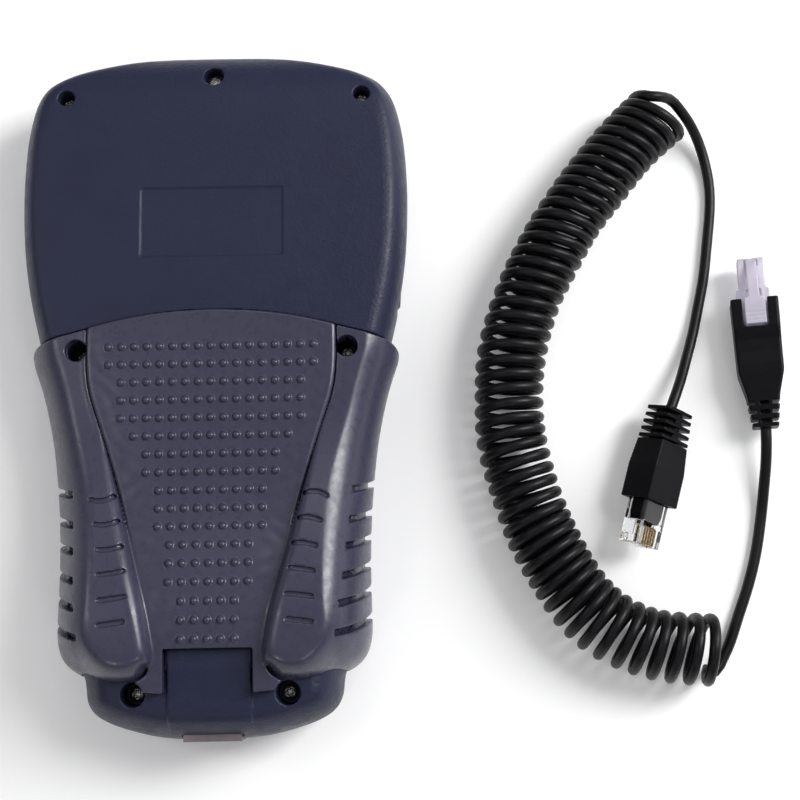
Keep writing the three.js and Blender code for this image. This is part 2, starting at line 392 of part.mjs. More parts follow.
for (let i = 0; i < 6; i++) jackPins = jackPins.add(solid(box(-3.4 + i * 1.27, -2.95 + i * 1.27, jf + 4.5, jf + 11.5, portZ + PORT.h - 1.0, portZ + PORT.h - 0.4)));
put("jack_contacts", jackPins, "gold");

// ---------- case screws ----------
for (const [n, s] of Object.entries(SCREWS)) {
  const b = s.seat + GAP;
  const head = new THREE.LatheGeometry([[0, 6.4], [SCREW_R, 6.4], [SCREW_R, b], [SCREW_HEAD_R, b], [SCREW_HEAD_R, b + SCREW_HEAD_H * 0.55], [SCREW_HEAD_R * 0.7, b + SCREW_HEAD_H], [0, b + SCREW_HEAD_H]].map(([r, z]) => new THREE.Vector2(r, z)), 12)
    .rotateX(Math.PI / 2);
  const cross = solid(box(-1.2, 1.2, -0.28, 0.28, b + 0.7, b + 3)).add(solid(box(-0.28, 0.28, -1.2, 1.2, b + 0.7, b + 3)));
  const mesh = put("case_screw_" + n, solid(head).subtract(cross), "screw");
  mesh.position.set(s.x, s.y, 0);
}

// ---------- coiled cord ----------
const COIL_PATH = [[128.8, 80.4], [117.2, 69.3], [107.3, 57.3], [99.6, 46.9], [93.1, 35.7], [88.8, 27.2], [85.7, 19.0], [82.7, 7.4], [81.7, -6.1], [82.0, -14.7], [83.7, -23.5], [86.1, -32.5], [89.4, -41.8], [93.0, -49.3], [97.4, -57.1], [104.8, -65.7], [111.5, -69.9], [118.2, -72.5], [126.9, -74.0], [135.7, -74.7]];
const LEAD_A = [[130.9, 83.6, 12.9], [134.3, 81.7, 10.2], [138.2, 77.9, 6.6], [141.3, 72.5, 3.6], [143.1, 66.5, 2.1], [143.9, 60.5, 1.6], [143.7, 53.5, 1.6], [142.7, 46, 1.6], [141.6, 38.5, 1.6], [140.4, 31.5, 1.6], [138.6, 24, 1.6], [136.6, 16.2, 2.1], [134.2, 9, 3.4], [131.8, 2.4, 5.4], [129.5, -3, 7.4], [128.0, -6.3, 8.0]];
const LEAD_B = [[137.5, -80.6, 2.1], [139.2, -78.3, 1.6], [141.1, -74.9, 1.6], [143.3, -69.8, 1.6], [145.2, -64.8, 1.6], [147.2, -59.8, 1.6], [149.1, -54.4, 1.6], [150.8, -48.6, 1.6], [152.3, -41.8, 1.6], [153.4, -35.2, 2.0], [154.1, -29, 3.2], [154.6, -22.8, 4.8], [154.75, -17, 6.2], [154.76, -14.6, 6.55]];
const sweep = (points, r, sides, steps) => {
  const shape = new THREE.Shape(Array.from({ length: sides }, (_, i) => new THREE.Vector2(r * Math.cos((2 * Math.PI * i) / sides), r * Math.sin((2 * Math.PI * i) / sides))));
  const path = new THREE.CatmullRomCurve3(points.map(([x, y, z]) => new THREE.Vector3(x, y, z)), false, "centripetal");
  return new THREE.ExtrudeGeometry(shape, { steps, extrudePath: path, bevelEnabled: false });
};
put("cord_coil", sweep(COIL_PATH.map(([x, y]) => [x, y, COIL_OD / 2 + 0.05]), COIL_OD / 2, 12, 22), "black");
put("cord_lead_a", sweep(LEAD_A, CABLE_D / 2, 8, 26), "black");
put("cord_lead_b", sweep(LEAD_B, CABLE_D / 2, 8, 20), "black");

// ---------- modular plugs: own frame, +Y to the nose, +Z on the latch side ----------
// boot: tapered strain relief, collar, sleeve
const plug = (tag, group, o) => {
  const L0 = 0, L1 = o.relief, L2 = o.boot, L3 = o.boot + o.nose;
  const bw = o.bootW / 2, bh = o.bootH / 2, pw = o.w / 2, ph = 3.3;
  const ringAt = (w, h, r) => rounded(w, h, r, 2);
  const alongY = (g) => g.applyMatrix4(new THREE.Matrix4().makeBasis(new THREE.Vector3(1, 0, 0), new THREE.Vector3(0, 0, -1), new THREE.Vector3(0, 1, 0)));
  let boot = solid(alongY(loft([
    { pts: ringAt(o.tail, o.tail, o.tail * 0.45), z: L0 }, { pts: ringAt(o.neck, o.neck * 0.96, o.neck * 0.42), z: L1 }, { pts: ringAt(2 * bw - 1.2, 2 * bh - 1.2, 2.6), z: L1 + 4 }, { pts: ringAt(2 * bw, 2 * bh, 2.0), z: L1 + 8 }, { pts: ringAt(2 * bw, 2 * bh, 1.6), z: L2 },
  ])));
  boot = boot.subtract(solid(box(-pw - GAP, pw + GAP, L2 - 8.6, L2 + 2, -ph - GAP, ph + GAP)));
  boot = boot.subtract(solid(box(-o.cut / 2, o.cut / 2, L2 - 8.4, L2 + 2, ph - 0.5, bh + 2)));
  put(tag + "_boot", boot, "black", group);
  let body = solid(box(-pw, pw, L2 - 8.2, L3, -ph, ph));
  if (o.step) for (const s of [-1, 1]) body = body.subtract(solid(box(s > 0 ? pw - o.step : -pw - 1, s > 0 ? pw + 1 : -pw + o.step, L2 + 3.2, L3 + 1, -ph - 1, ph + 1)));
  for (let i = 0; i < o.pins; i++) { const x = (i - (o.pins - 1) / 2) * 1.02; body = body.subtract(solid(box(x - 0.36, x + 0.36, L3 - 5.2, L3 + 1, -ph - 1, -ph + 2.6))); }
  // room for the contact comb's back bar and for the latch foot
  body = body.subtract(solid(box(-(o.pins * 1.02) / 2 - 0.6, (o.pins * 1.02) / 2 + 0.6, L3 - 6.5, L3 - 5.0, -ph - 1, -ph + 2.6)));
  body = body.subtract(solid(box(-1.9, 1.9, L3 - 2.6, L3 + 1, ph - 1.5, ph + 1)));
  put(tag + "_body", body, o.finish, group);
  let comb = solid(box(-(o.pins * 1.02) / 2 - 0.3, (o.pins * 1.02) / 2 + 0.3, L3 - 6.2, L3 - 5.3, -ph + 0.9, -ph + 2.3));
  for (let i = 0; i < o.pins; i++) { const x = (i - (o.pins - 1) / 2) * 1.02; comb = comb.add(solid(box(x - 0.15, x + 0.15, L3 - 5.6, L3 - 0.6, -ph + 0.5, -ph + 2.2))); }
  put(tag + "_contacts", comb, "gold", group);
  // latch: foot in the nose, arm running back over the body, thumb end
  const arm = [[L3 - 0.4, ph - 1.2], [L3 - 0.4, ph + 0.2], [L3 - 6, ph + 2.4], [L3 - 6.8, ph + 2.7], [L2 - 7.6, bh + 0.9], [L2 - 7.6, bh], [L3 - 7.0, ph + 1.7], [L3 - 2.3, ph + 0.35], [L3 - 2.3, ph - 1.2]];
  const latch = new THREE.ExtrudeGeometry(new THREE.Shape(arm.map(([y, z]) => new THREE.Vector2(y, z))), { depth: 3.1, bevelEnabled: false })
    .applyMatrix4(new THREE.Matrix4().makeBasis(new THREE.Vector3(0, 1, 0), new THREE.Vector3(0, 0, 1), new THREE.Vector3(1, 0, 0))).translate(-1.55, 0, 0);
  put(tag + "_latch", latch, o.finish, group);
};
const plugA = new THREE.Group();
plugA.position.set(127.4, -8.1, 8.35);
plugA.rotation.set(0, THREE.MathUtils.degToRad(140), THREE.MathUtils.degToRad(180 - 16.0), "ZYX");
mic.add(plugA);
plug("plug_a", plugA, { relief: 9, boot: 26.5, nose: 12.4, bootW: 12.7, bootH: 10.4, tail: 9.4, neck: 11.2, w: 9.65, pins: 6, cut: 6.2, finish: "clear" });
const plugB = new THREE.Group();
plugB.position.set(154.75, -13.0, 6.65);
plugB.rotation.set(0, THREE.MathUtils.degToRad(-12), THREE.MathUtils.degToRad(1.9), "ZYX");
mic.add(plugB);
plug("plug_b", plugB, { relief: 8, boot: 37.0, nose: 12.2, bootW: 12.8, bootH: 10.4, tail: 7.2, neck: 9.0, w: 9.4, step: 0.95, pins: 4, cut: 7.0, finish: "frosted" });

export default mic;
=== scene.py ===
import math
import bpy
import bmesh
import numpy as np
from mathutils import Matrix, Vector


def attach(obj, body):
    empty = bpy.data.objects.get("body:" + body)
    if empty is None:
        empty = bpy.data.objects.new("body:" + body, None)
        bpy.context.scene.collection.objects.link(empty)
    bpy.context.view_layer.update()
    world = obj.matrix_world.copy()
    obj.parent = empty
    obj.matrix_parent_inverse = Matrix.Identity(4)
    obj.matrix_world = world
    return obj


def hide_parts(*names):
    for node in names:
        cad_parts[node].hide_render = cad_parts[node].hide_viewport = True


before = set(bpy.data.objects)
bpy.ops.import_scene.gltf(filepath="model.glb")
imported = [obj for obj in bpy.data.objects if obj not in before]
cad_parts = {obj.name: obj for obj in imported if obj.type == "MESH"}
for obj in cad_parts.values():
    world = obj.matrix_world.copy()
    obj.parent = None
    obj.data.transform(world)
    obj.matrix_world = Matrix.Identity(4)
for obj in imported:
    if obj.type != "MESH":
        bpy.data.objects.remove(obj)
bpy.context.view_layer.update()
rng = np.random.default_rng(7)
SY = -0.2  # the handset's middle, mm


def D(x, y, z):
    """millimetres on the handset's own grid to metres in the row frame"""
    return Vector((x, y + SY, z)) / 1000.0


# ------------------------------------------------------------------ camera
cam_data = bpy.data.cameras.new("camera")
cam = bpy.data.objects.new("camera", cam_data)
bpy.context.scene.collection.objects.link(cam)
cam_data.sensor_width = 36.0
cam_data.sensor_fit = "HORIZONTAL"
cam_data.lens = 63.0
cam_data.clip_start = 0.01
cam_data.clip_end = 20.0
c_right = Vector((0.9998108, -0.0193655, 0.0018135))
c_up = Vector((0.0187657, 0.9849392, 0.1718796))
c_fwd = Vector((0.0051147, 0.1718131, -0.9851163))
loc = D(48.940, -71.481, 399.629)
m = Matrix.Identity(4)
for i in range(3):
    m[i][0], m[i][1], m[i][2], m[i][3] = c_right[i], c_up[i], -c_fwd[i], loc[i]
cam.matrix_world = m
bpy.context.scene.camera = cam

# ------------------------------------------------------------------ cord route
CABLE = 3.1  # jacket diameter, mm
COIL_R = 8.35  # radius of the turns' middle line
COIL_Z = 9.95
# middle line of the coil: station along it, x, y
AXIS = np.array([
    [0.0, 128.83, 80.43], [53.0, 117.16, 69.28], [104.3, 107.3, 57.3], [147.3, 99.63, 46.9], [190.7, 93.14, 35.68],
    [222.9, 88.81, 27.18], [252.6, 85.66, 19.02], [293.6, 82.71, 7.42], [340.7, 81.7, -6.1], [370.7, 81.98, -14.67],
    [402.5, 83.65, -23.48], [436.0, 86.14, -32.52], [471.5, 89.43, -41.78], [501.9, 93.04, -49.33], [534.7, 97.44, -57.11],
    [576.5, 104.8, -65.71], [605.6, 111.49, -69.91], [632.2, 118.23, -72.48], [664.6, 126.94, -74.0], [696.6, 135.69, -74.71]])
# stations of the turns' outermost points, turn by turn
TURN_AT = np.array([[0, 2.3], [18, 229.7], [34, 457.2], [42, 564.0], [50, 695.6]])
# how far the turns lean forward on the outer side, as a share of their radius
LEAN = np.array([[0, 0.25], [60, 0.20], [190, 0.17], [260, 0.10], [330, 0.02], [430, 0.01], [470, 0.04], [520, 0.08], [550, 0.05],
                 [572, -0.01], [592, -0.10], [610, -0.12], [630, -0.16], [660, -0.23], [680, -0.21], [697, -0.13]])


def spline_through(knots, values):
    """natural cubic through the knots, returned as a function"""
    x, y = np.asarray(knots, float), np.asarray(values, float)
    n = len(x); h = np.diff(x)
    A = np.zeros((n, n)); b = np.zeros((n,) + y.shape[1:])
    A[0, 0] = A[-1, -1] = 1
    for i in range(1, n - 1):
        A[i, i - 1], A[i, i], A[i, i + 1] = h[i - 1], 2 * (h[i - 1] + h[i]), h[i]
        b[i] = 6 * ((y[i + 1] - y[i]) / h[i] - (y[i] - y[i - 1]) / h[i - 1])
    M = np.linalg.solve(A, b)

    def f(t):
        t = np.atleast_1d(np.asarray(t, float))
        i = np.clip(np.searchsorted(x, t) - 1, 0, n - 2)
        d = t - x[i]; hh = h[i]
        if y.ndim > 1:
            d, hh = d[:, None], hh[:, None]
        return (M[i] * (hh - d) ** 3 + M[i + 1] * d ** 3) / (6 * hh) + (y[i] / hh - M[i] * hh / 6) * (hh - d) + (y[i + 1] / hh - M[i + 1] * hh / 6) * d
    return f


axis_xy = spline_through(AXIS[:, 0], AXIS[:, 1:])
turn_at = spline_through(TURN_AT[:, 0], TURN_AT[:, 1])


def coil_points(n0, n1, per_turn=28):
    n = np.linspace(n0, n1, int(round((n1 - n0) * per_turn)) + 1)
    u = turn_at(n)
    P = axis_xy(u); T = axis_xy(u + 0.5) - axis_xy(u - 0.5)
    T /= np.linalg.norm(T, axis=1)[:, None]
    L = np.stack([T[:, 1], -T[:, 0]], 1)
    phi = math.pi / 2 + 2 * math.pi * n
    k = np.interp(u, LEAN[:, 0], LEAN[:, 1])
    # hand-wound unevenness, small and smooth
    w = 0.16 * np.sin(n * 1.7 + 0.6) + 0.12 * np.sin(n * 0.53 + 2.1)
    r = COIL_R + 0.10 * np.sin(n * 0.9 + 1.0)
    side = r * np.sin(phi)
    xy = P + L * side[:, None] + T * (k * side + w)[:, None]
    z = COIL_Z + r * np.cos(phi) - (r - COIL_R)
    return np.column_stack([xy, z])


coil = coil_points(-0.16, 50.14)
lead_a = np.array([
    [127.6, -7.4, 8.3], [129.5, -3.0, 7.4], [131.8, 2.4, 5.4], [134.2, 9.0, 3.4], [136.6, 16.2, 2.1], [138.6, 24.0, 1.6], [140.4, 31.5, 1.56],
    [141.6, 38.5, 1.56], [142.7, 46.0, 1.56], [143.7, 53.5, 1.56], [143.9, 60.5, 1.6], [143.1, 66.5, 2.1], [141.3, 72.5, 3.6], [138.2, 77.9, 6.6], [134.3, 81.7, 10.2], [130.9, 83.6, 12.9]])
lead_b = np.array([
    [137.5, -80.6, 2.1], [139.2, -78.3, 1.6], [141.1, -74.9, 1.56], [143.3, -69.8, 1.56], [145.2, -64.8, 1.56], [147.2, -59.8, 1.56], [149.1, -54.4, 1.56], [150.8, -48.6, 1.56],
    [152.3, -41.8, 1.6], [153.4, -35.2, 2.0], [154.1, -29.0, 3.2], [154.6, -22.8, 4.8], [154.75, -17.0, 6.2], [154.76, -12.0, 6.65]])


def dense(points, step):
    """smooth curve through the points, a sample every step mm"""
    d = np.r_[0, np.cumsum(np.linalg.norm(np.diff(points, axis=0), axis=1) ** 0.5)]
    f = spline_through(d, points)
    t = np.linspace(0, d[-1], 4000)
    p = f(t); s = np.r_[0, np.cumsum(np.linalg.norm(np.diff(p, axis=0), axis=1))]
    n = max(2, int(round(s[-1] / step)))
    at = np.linspace(0, s[-1], n + 1)
    return np.column_stack([np.interp(at, s, p[:, k]) for k in range(3)])


def joined(lead, turns):
    """lead runs smoothly into the first of the turns"""
    k = 7
    return dense(np.vstack([lead, turns[:k:2]]), 3.0)


route_a = dense(np.vstack([lead_a, coil[[0, 2, 4, 6]]]), 2.4)
cut_a = int(np.argmin(np.linalg.norm(route_a - coil[0], axis=1)))
route_b = dense(np.vstack([coil[[-7, -5, -3, -1]], lead_b]), 2.4)
cut_b = int(np.argmin(np.linalg.norm(route_b - coil[-1], axis=1)))
ROUTE = np.vstack([route_a[:cut_a], coil, route_b[cut_b + 1:]])
ROUTE[:, 2] = np.maximum(ROUTE[:, 2], CABLE / 2)

cu = bpy.data.curves.new("cord", "CURVE")
cu.dimensions = "3D"
sp = cu.splines.new("POLY")
sp.points.add(len(ROUTE) - 1)
flat = np.column_stack([ROUTE[:, 0], ROUTE[:, 1] + SY, ROUTE[:, 2]]) / 1000.0
sp.points.foreach_set("co", np.column_stack([flat, np.ones(len(flat))]).astype(np.float32).ravel())
# the jacket's radius is on the points, so the curve's own box fits it closely
sp.points.foreach_set("radius", np.full(len(flat), CABLE / 2000.0, dtype=np.float32))
cu.bevel_depth = 1.0
cu.bevel_resolution = 4
cu.use_fill_caps = True
sp.use_smooth = True
cord = bpy.data.objects.new("cord", cu)
bpy.context.scene.collection.objects.link(cord)
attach(cord, "handset")
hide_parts("cord_coil", "cord_lead_a", "cord_lead_b")


# ------------------------------------------------------------------ floor and light
def plain_material(name):
    mt = bpy.data.materials.new(name)
    mt.use_nodes = True
    nt = mt.node_tree
    for n in list(nt.nodes):
        nt.nodes.remove(n)
    out = nt.nodes.new("ShaderNodeOutputMaterial"); out.location = (900, 0)
    bs = nt.nodes.new("ShaderNodeBsdfPrincipled"); bs.location = (600, 0)
    nt.links.new(bs.outputs[0], out.inputs[0])
    return mt, nt, bs


floor_me = bpy.data.meshes.new("floor")
fb = bmesh.new()
for x, y in ((-9, -9), (9, -9), (9, 9), (-9, 9)):
    fb.verts.new((x, y, -0.00005))
fb.faces.new(fb.verts)
fb.to_mesh(floor_me); fb.free()
floor = bpy.data.objects.new("floor", floor_me)
bpy.context.scene.collection.objects.link(floor)
fmat, fnt, fbs = plain_material("floor_white")
fbs.inputs["Base Color"].default_value = (0.96, 0.96, 0.96, 1)
fbs.inputs["Roughness"].default_value = 0.9
fbs.inputs["Emission Color"].default_value = (1, 1, 1, 1)
fbs.inputs["Emission Strength"].default_value = 0.10
floor_me.materials.append(fmat)

world = bpy.data.worlds.new("studio")
bpy.context.scene.world = world
world.use_nodes = True
wnt = world.node_tree
bg = wnt.nodes["Background"]
# a pale wall low down, then a dim tent, a little brighter overhead
wtc = wnt.nodes.new("ShaderNodeTexCoord"); wtc.location = (-900, 0)
wsep = wnt.nodes.new("ShaderNodeSeparateXYZ"); wsep.location = (-700, 0)
wramp = wnt.nodes.new("ShaderNodeValToRGB"); wramp.location = (-450, 0)
wnt.links.new(wtc.outputs["Generated"], wsep.inputs[0])
wnt.links.new(wsep.outputs[2], wramp.inputs[0])
wel = wramp.color_ramp.elements
wel[0].position = 0.0; wel[0].color = (0.85, 0.85, 0.86, 1)
wel[1].position = 1.0; wel[1].color = (0.30, 0.30, 0.31, 1)
for p, c in ((0.08, 0.80), (0.19, 0.18), (0.45, 0.20), (0.75, 0.34)):
    e = wel.new(p); e.color = (c, c, c * 1.02, 1)
wnt.links.new(wramp.outputs[0], bg.inputs[0])
bg.inputs[1].default_value = 1.0


def area(name, where, target, size, power):
    ld = bpy.data.lights.new(name, "AREA")
    ld.shape = "RECTANGLE"; ld.size, ld.size_y = size
    ld.energy = power
    ob = bpy.data.objects.new(name, ld)
    bpy.context.scene.collection.objects.link(ob)
    ob.location = where
    ob.rotation_euler = (Vector(target) - Vector(where)).to_track_quat("-Z", "Y").to_euler()
    return ob


area("key_light", (0.76, 0.30, 0.66), (0.06, 0, 0.02), (0.34, 0.7), 10.6)
area("fill_light", (-0.55, 0.15, 0.80), (0, 0, 0.02), (0.16, 0.6), 1.2)
area("back_light", (0.1, 0.75, 0.95), (0.05, 0, 0.02), (0.7, 0.3), 1.2)
area("foot_left", (-0.30, -0.62, 0.62), (0, 0, 0.02), (0.09, 0.08), 0.40)
area("foot_right", (0.30, -0.62, 0.62), (0, 0, 0.02), (0.09, 0.08), 0.40)

bpy.context.scene.view_settings.view_transform = "Standard"
bpy.context.scene.view_settings.look = "None"



# ------------------------------------------------------------------ shape tools
def ramp(t):
    t = np.clip(t, 0, 1)
    return t * t * (3 - 2 * t)


def run(points, step=0.4):
    """rounded line through the points"""
    p = np.asarray(points, float)
    d = np.r_[0, np.cumsum(np.linalg.norm(np.diff(p, axis=0), axis=1) ** 0.5)]
    f = spline_through(d, p)
    n = max(8, int(np.linalg.norm(np.diff(p, axis=0), axis=1).sum() / step))
    return f(np.linspace(0, d[-1], n))


def line_distance(px, py, line):
    """distance from points to an open line, in blocks"""
    a, b = line[:-1], line[1:]
    ab = b - a; L2 = (ab ** 2).sum(1) + 1e-12
    out = np.empty(px.size, np.float32)
    P = np.column_stack([px.ravel(), py.ravel()]).astype(np.float32)
    for i in range(0, len(P), 4000):
        q = P[i:i + 4000]
        dx = q[:, None, 0] - a[None, :, 0]; dy = q[:, None, 1] - a[None, :, 1]
        t = np.clip((dx * ab[:, 0] + dy * ab[:, 1]) / L2, 0, 1)
        out[i:i + 4000] = np.sqrt(((dx - t * ab[:, 0]) ** 2 + (dy - t * ab[:, 1]) ** 2).min(1))
    return out.reshape(px.shape)


def inside(px, py, ring):
    x, y = px.ravel(), py.ravel()
    c = np.zeros(x.size, bool)
    x0, y0 = ring[:, 0], ring[:, 1]
    x1, y1 = np.roll(x0, -1), np.roll(y0, -1)
    for a0, b0, a1, b1 in zip(x0, y0, x1, y1):
        if b0 == b1:
            continue
        k = ((b0 > y) != (b1 > y)) & (x < (a1 - a0) * (y - b0) / (b1 - b0) + a0)
        c ^= k
    return c.reshape(px.shape)


def bilinear(table, x0, y0, h, x, y):
    u = np.clip((x - x0) / h, 0, table.shape[0] - 1.001)
    v = np.clip((y - y0) / h, 0, table.shape[1] - 1.001)
    i, j = u.astype(np.int32), v.astype(np.int32)
    fu, fv = (u - i).astype(np.float32), (v - j).astype(np.float32)
    return (table[i, j] * (1 - fu) * (1 - fv) + table[i + 1, j] * fu * (1 - fv) + table[i, j + 1] * (1 - fu) * fv + table[i + 1, j + 1] * fu * fv)


def smin(a, b, k):
    h = np.clip(0.5 + 0.5 * (b - a) / k, 0, 1)
    return b + (a - b) * h - k * h * (1 - h)


def smax(a, b, k):
    return -smin(-a, -b, k)


def edge_table(profile):
    """signed distance to a rounded edge given as (inset, height) stations"""
    p = np.asarray(profile, float)
    p = run(p, 0.25)
    p = np.vstack([[p[0, 0], -40], p, [200, p[-1, 1]]])
    d = np.arange(-4, 26.05, 0.15); z = np.arange(-4, 46.05, 0.15)
    Dg, Zg = np.meshgrid(d, z, indexing="ij")
    u = line_distance(Dg, Zg, p)
    up = np.interp(Dg, p[1:, 0], p[1:, 1])
    solid = (Dg > p[0, 0]) & (Zg < up)
    T = np.where(solid, -u, u).astype(np.float32)
    return lambda dd, zz: bilinear(T, -4, -4, 0.15, dd, zz)


def grid(lo, hi, h):
    ax = [np.arange(a, b + h * 0.5, h, dtype=np.float32) for a, b in zip(lo, hi)]
    return ax[0][:, None, None], ax[1][None, :, None], ax[2][None, None, :]


CORNERS = [(0, 0, 0), (1, 0, 0), (0, 1, 0), (1, 1, 0), (0, 0, 1), (1, 0, 1), (0, 1, 1), (1, 1, 1)]
EDGES = [(0, 1), (2, 3), (4, 5), (6, 7), (0, 2), (1, 3), (4, 6), (5, 7), (0, 4), (1, 5), (2, 6), (3, 7)]


def skin(f, lo, h):
    """closed quad skin around f < 0"""
    f = np.ascontiguousarray(f, np.float32)
    f[0], f[-1], f[:, 0], f[:, -1], f[:, :, 0], f[:, :, -1] = [np.maximum(a, 1e-3) for a in (f[0], f[-1], f[:, 0], f[:, -1], f[:, :, 0], f[:, :, -1])]
    s = f < 0
    nx, ny, nz = f.shape
    some = np.zeros((nx - 1, ny - 1, nz - 1), bool); every = np.ones_like(some)
    for i, j, k in CORNERS:
        c = s[i:nx - 1 + i, j:ny - 1 + j, k:nz - 1 + k]
        some |= c; every &= c
    act = some & ~every
    ids = np.full(act.shape, -1, np.int32)
    cells = np.argwhere(act)
    ids[act] = np.arange(len(cells))
    pos = np.zeros((len(cells), 3), np.float32); cnt = np.zeros(len(cells), np.float32)
    cv = [f[cells[:, 0] + i, cells[:, 1] + j, cells[:, 2] + k] for i, j, k in CORNERS]
    for a, b in EDGES:
        fa, fb = cv[a], cv[b]
        x = (fa < 0) != (fb < 0)
        t = np.where(x, fa / np.where(fa == fb, 1, fa - fb), 0)[:, None]
        ca, cb = np.array(CORNERS[a], np.float32), np.array(CORNERS[b], np.float32)
        pos += np.where(x[:, None], ca + t * (cb - ca), 0); cnt += x
    v = np.asarray(lo, np.float32) + h * (cells + pos / cnt[:, None])
    quads = []
    for axis in range(3):
        a = [slice(None)] * 3; b = [slice(None)] * 3
        a[axis] = slice(0, -1); b[axis] = slice(1, None)
        sa, sb = s[tuple(a)], s[tuple(b)]
        e = np.argwhere(sa != sb)
        out = sa[tuple(e.T)]
        u, w = (axis + 1) % 3, (axis + 2) % 3
        ok = (e[:, u] > 0) & (e[:, w] > 0) & (e[:, u] < ids.shape[u]) & (e[:, w] < ids.shape[w])
        e, out = e[ok], out[ok]
        q = []
        for du, dw in ((1, 1), (0, 1), (0, 0), (1, 0)):
            c = e.copy(); c[:, u] -= du; c[:, w] -= dw
            q.append(ids[tuple(c.T)])
        q = np.column_stack(q)
        q[~out] = q[~out][:, ::-1]
        quads.append(q)
    return v, np.vstack(quads)


def mesh_object(name, verts, faces, body, node=None, smooth=True, sharp=None):
    """verts in mm on the handset's grid (n, 3), faces (m, 3 or 4)"""
    me = bpy.data.meshes.new(name)
    verts = np.asarray(verts, np.float64); faces = np.asarray(faces, np.int32)
    me.vertices.add(len(verts))
    co = verts.copy(); co[:, 1] += SY
    me.vertices.foreach_set("co", (co / 1000.0).astype(np.float32).ravel())
    k = faces.shape[1]
    me.loops.add(faces.size); me.polygons.add(len(faces))
    me.loops.foreach_set("vertex_index", faces.ravel())
    me.polygons.foreach_set("loop_start", np.arange(0, faces.size, k, dtype=np.int32))
    me.polygons.foreach_set("loop_total", np.full(len(faces), k, np.int32))
    me.polygons.foreach_set("use_smooth", np.full(len(faces), smooth, bool))
    me.update(calc_edges=True); me.validate()
    if sharp:
        me.set_sharp_from_angle(angle=math.radians(sharp))
    ob = bpy.data.objects.new(name, me)
    bpy.context.scene.collection.objects.link(ob)
    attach(ob, body)
    if node:
        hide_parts(*([node] if isinstance(node, str) else node))
    return ob


# ------------------------------------------------------------------ outlines of the handset, mm, right half
CASE_HALF = np.array([[0, 95.9], [9, 95.75], [18, 95.05], [26, 93.8], [33, 92.35], [39, 90.8], [43, 89.2], [46.8, 87], [49.5, 84], [51.15, 80.6],
    [52.35, 76], [53.35, 70], [53.95, 62], [54.15, 53], [53.75, 42], [52.75, 32], [51.2, 23], [49.6, 16], [48.3, 10.7], [46.9, 5], [44.9, -4],
    [43.2, -14], [41.8, -24], [40.8, -36], [40.3, -50], [40, -62], [39.2, -69.5], [37.4, -75], [35, -78.8], [34.2, -84], [33.1, -87],
    [31, -89.2], [27.2, -91.2], [21.8, -93], [16, -94.4], [10.6, -95.1], [0, -95.4]])
GRIP_HALF = np.array([[0, 19.2], [12, 18.6], [24, 16.85], [33.4, 14.6], [41, 12.6], [47.6, 10.9], [50, 9.7], [50.95, 8.1], [50.6, 6], [49.2, 2], [47.4, -4],
    [46, -10], [44.7, -17], [43.8, -24], [43, -32], [42.4, -42], [42.2, -52], [42.3, -62], [42.3, -68], [41.6, -72], [40.1, -75], [37.6, -77.3],
    [33.6, -79.3], [29, -80.4], [24.5, -80.8], [17.6, -82.4], [11.6, -82.8], [11.6, -71.5], [0, -71.5]])
SEAM = np.array([[21.6, -84], [19.3, -80.6], [15.7, -78.0], [14.2, -73.5], [14.8, -68.5], [16.1, -61.7], [18.9, -51], [25.2, -27.5], [30.4, -10.6], [33.3, 0.4], [33.4, 22]])
case_line = run(CASE_HALF)
grip_line = np.vstack([run(GRIP_HALF[:4]), run(GRIP_HALF[5:25]), [[17.6, -82.4], [11.9, -82.8], [11.6, -82.5], [11.6, -71.5], [0, -71.5]]])
side_line = run(np.vstack([GRIP_HALF[7:25], [[20, -80.6], [17, -79.6], [15, -77.4]]]))
side_line = np.vstack([[[51.2, 40], [51.1, 8.4]], side_line])
H2 = 0.5
gx, gy = np.meshgrid(np.arange(0, 61, H2), np.arange(-104, 104, H2), indexing="ij")


def signed_map(line, ring):
    d = line_distance(gx, gy, line)
    return np.where(inside(gx, gy, ring), d, -d).astype(np.float32)


case_map = signed_map(case_line, np.vstack([case_line, [[-60, -95.4], [-60, 95.9]]]))
grip_map = signed_map(grip_line, np.vstack([grip_line, [[-60, -71.5], [-60, 19.2]]]))
side_map = signed_map(side_line, np.vstack([side_line, [[15, -77.4], [-60, -77.4], [-60, 40]]]))
seam_s = run(SEAM[::-1])[::-1]


def softened(m, sigma):
    """the same map with the creases along its middle rounded off"""
    n = int(3 * sigma); k = np.exp(-0.5 * (np.arange(-n, n + 1) / sigma) ** 2); k /= k.sum()
    q = np.vstack([m[n:0:-1], m, np.repeat(m[-1:], n, 0)])
    q = sum(w * q[i:i + m.shape[0]] for i, w in enumerate(k))
    q = np.hstack([np.repeat(q[:, :1], n, 1), q, np.repeat(q[:, -1:], n, 1)])
    q = sum(w * q[:, i:i + m.shape[1]] for i, w in enumerate(k))
    return (m + (q - m) * ramp((m - 0.6) / 3.5)).astype(np.float32)


side_map = softened(side_map, 5.5)


def on_map(m, x, y):
    ax = np.abs(x) + 0 * y
    return bilinear(m, 0, -104, H2, ax, y + 0 * ax)


def panel_z(y):
    return 29.4 + 5.2 * ramp((-30 - y) / 34) - ramp((-66 - y) / 17)


def crest_z(y):
    return 28.6 + 10.8 * ramp((-5 - y) / 65)


def seam_x(y):
    o = np.argsort(seam_s[:, 1])
    return np.interp(y, seam_s[o, 1], seam_s[o, 0]).astype(np.float32)


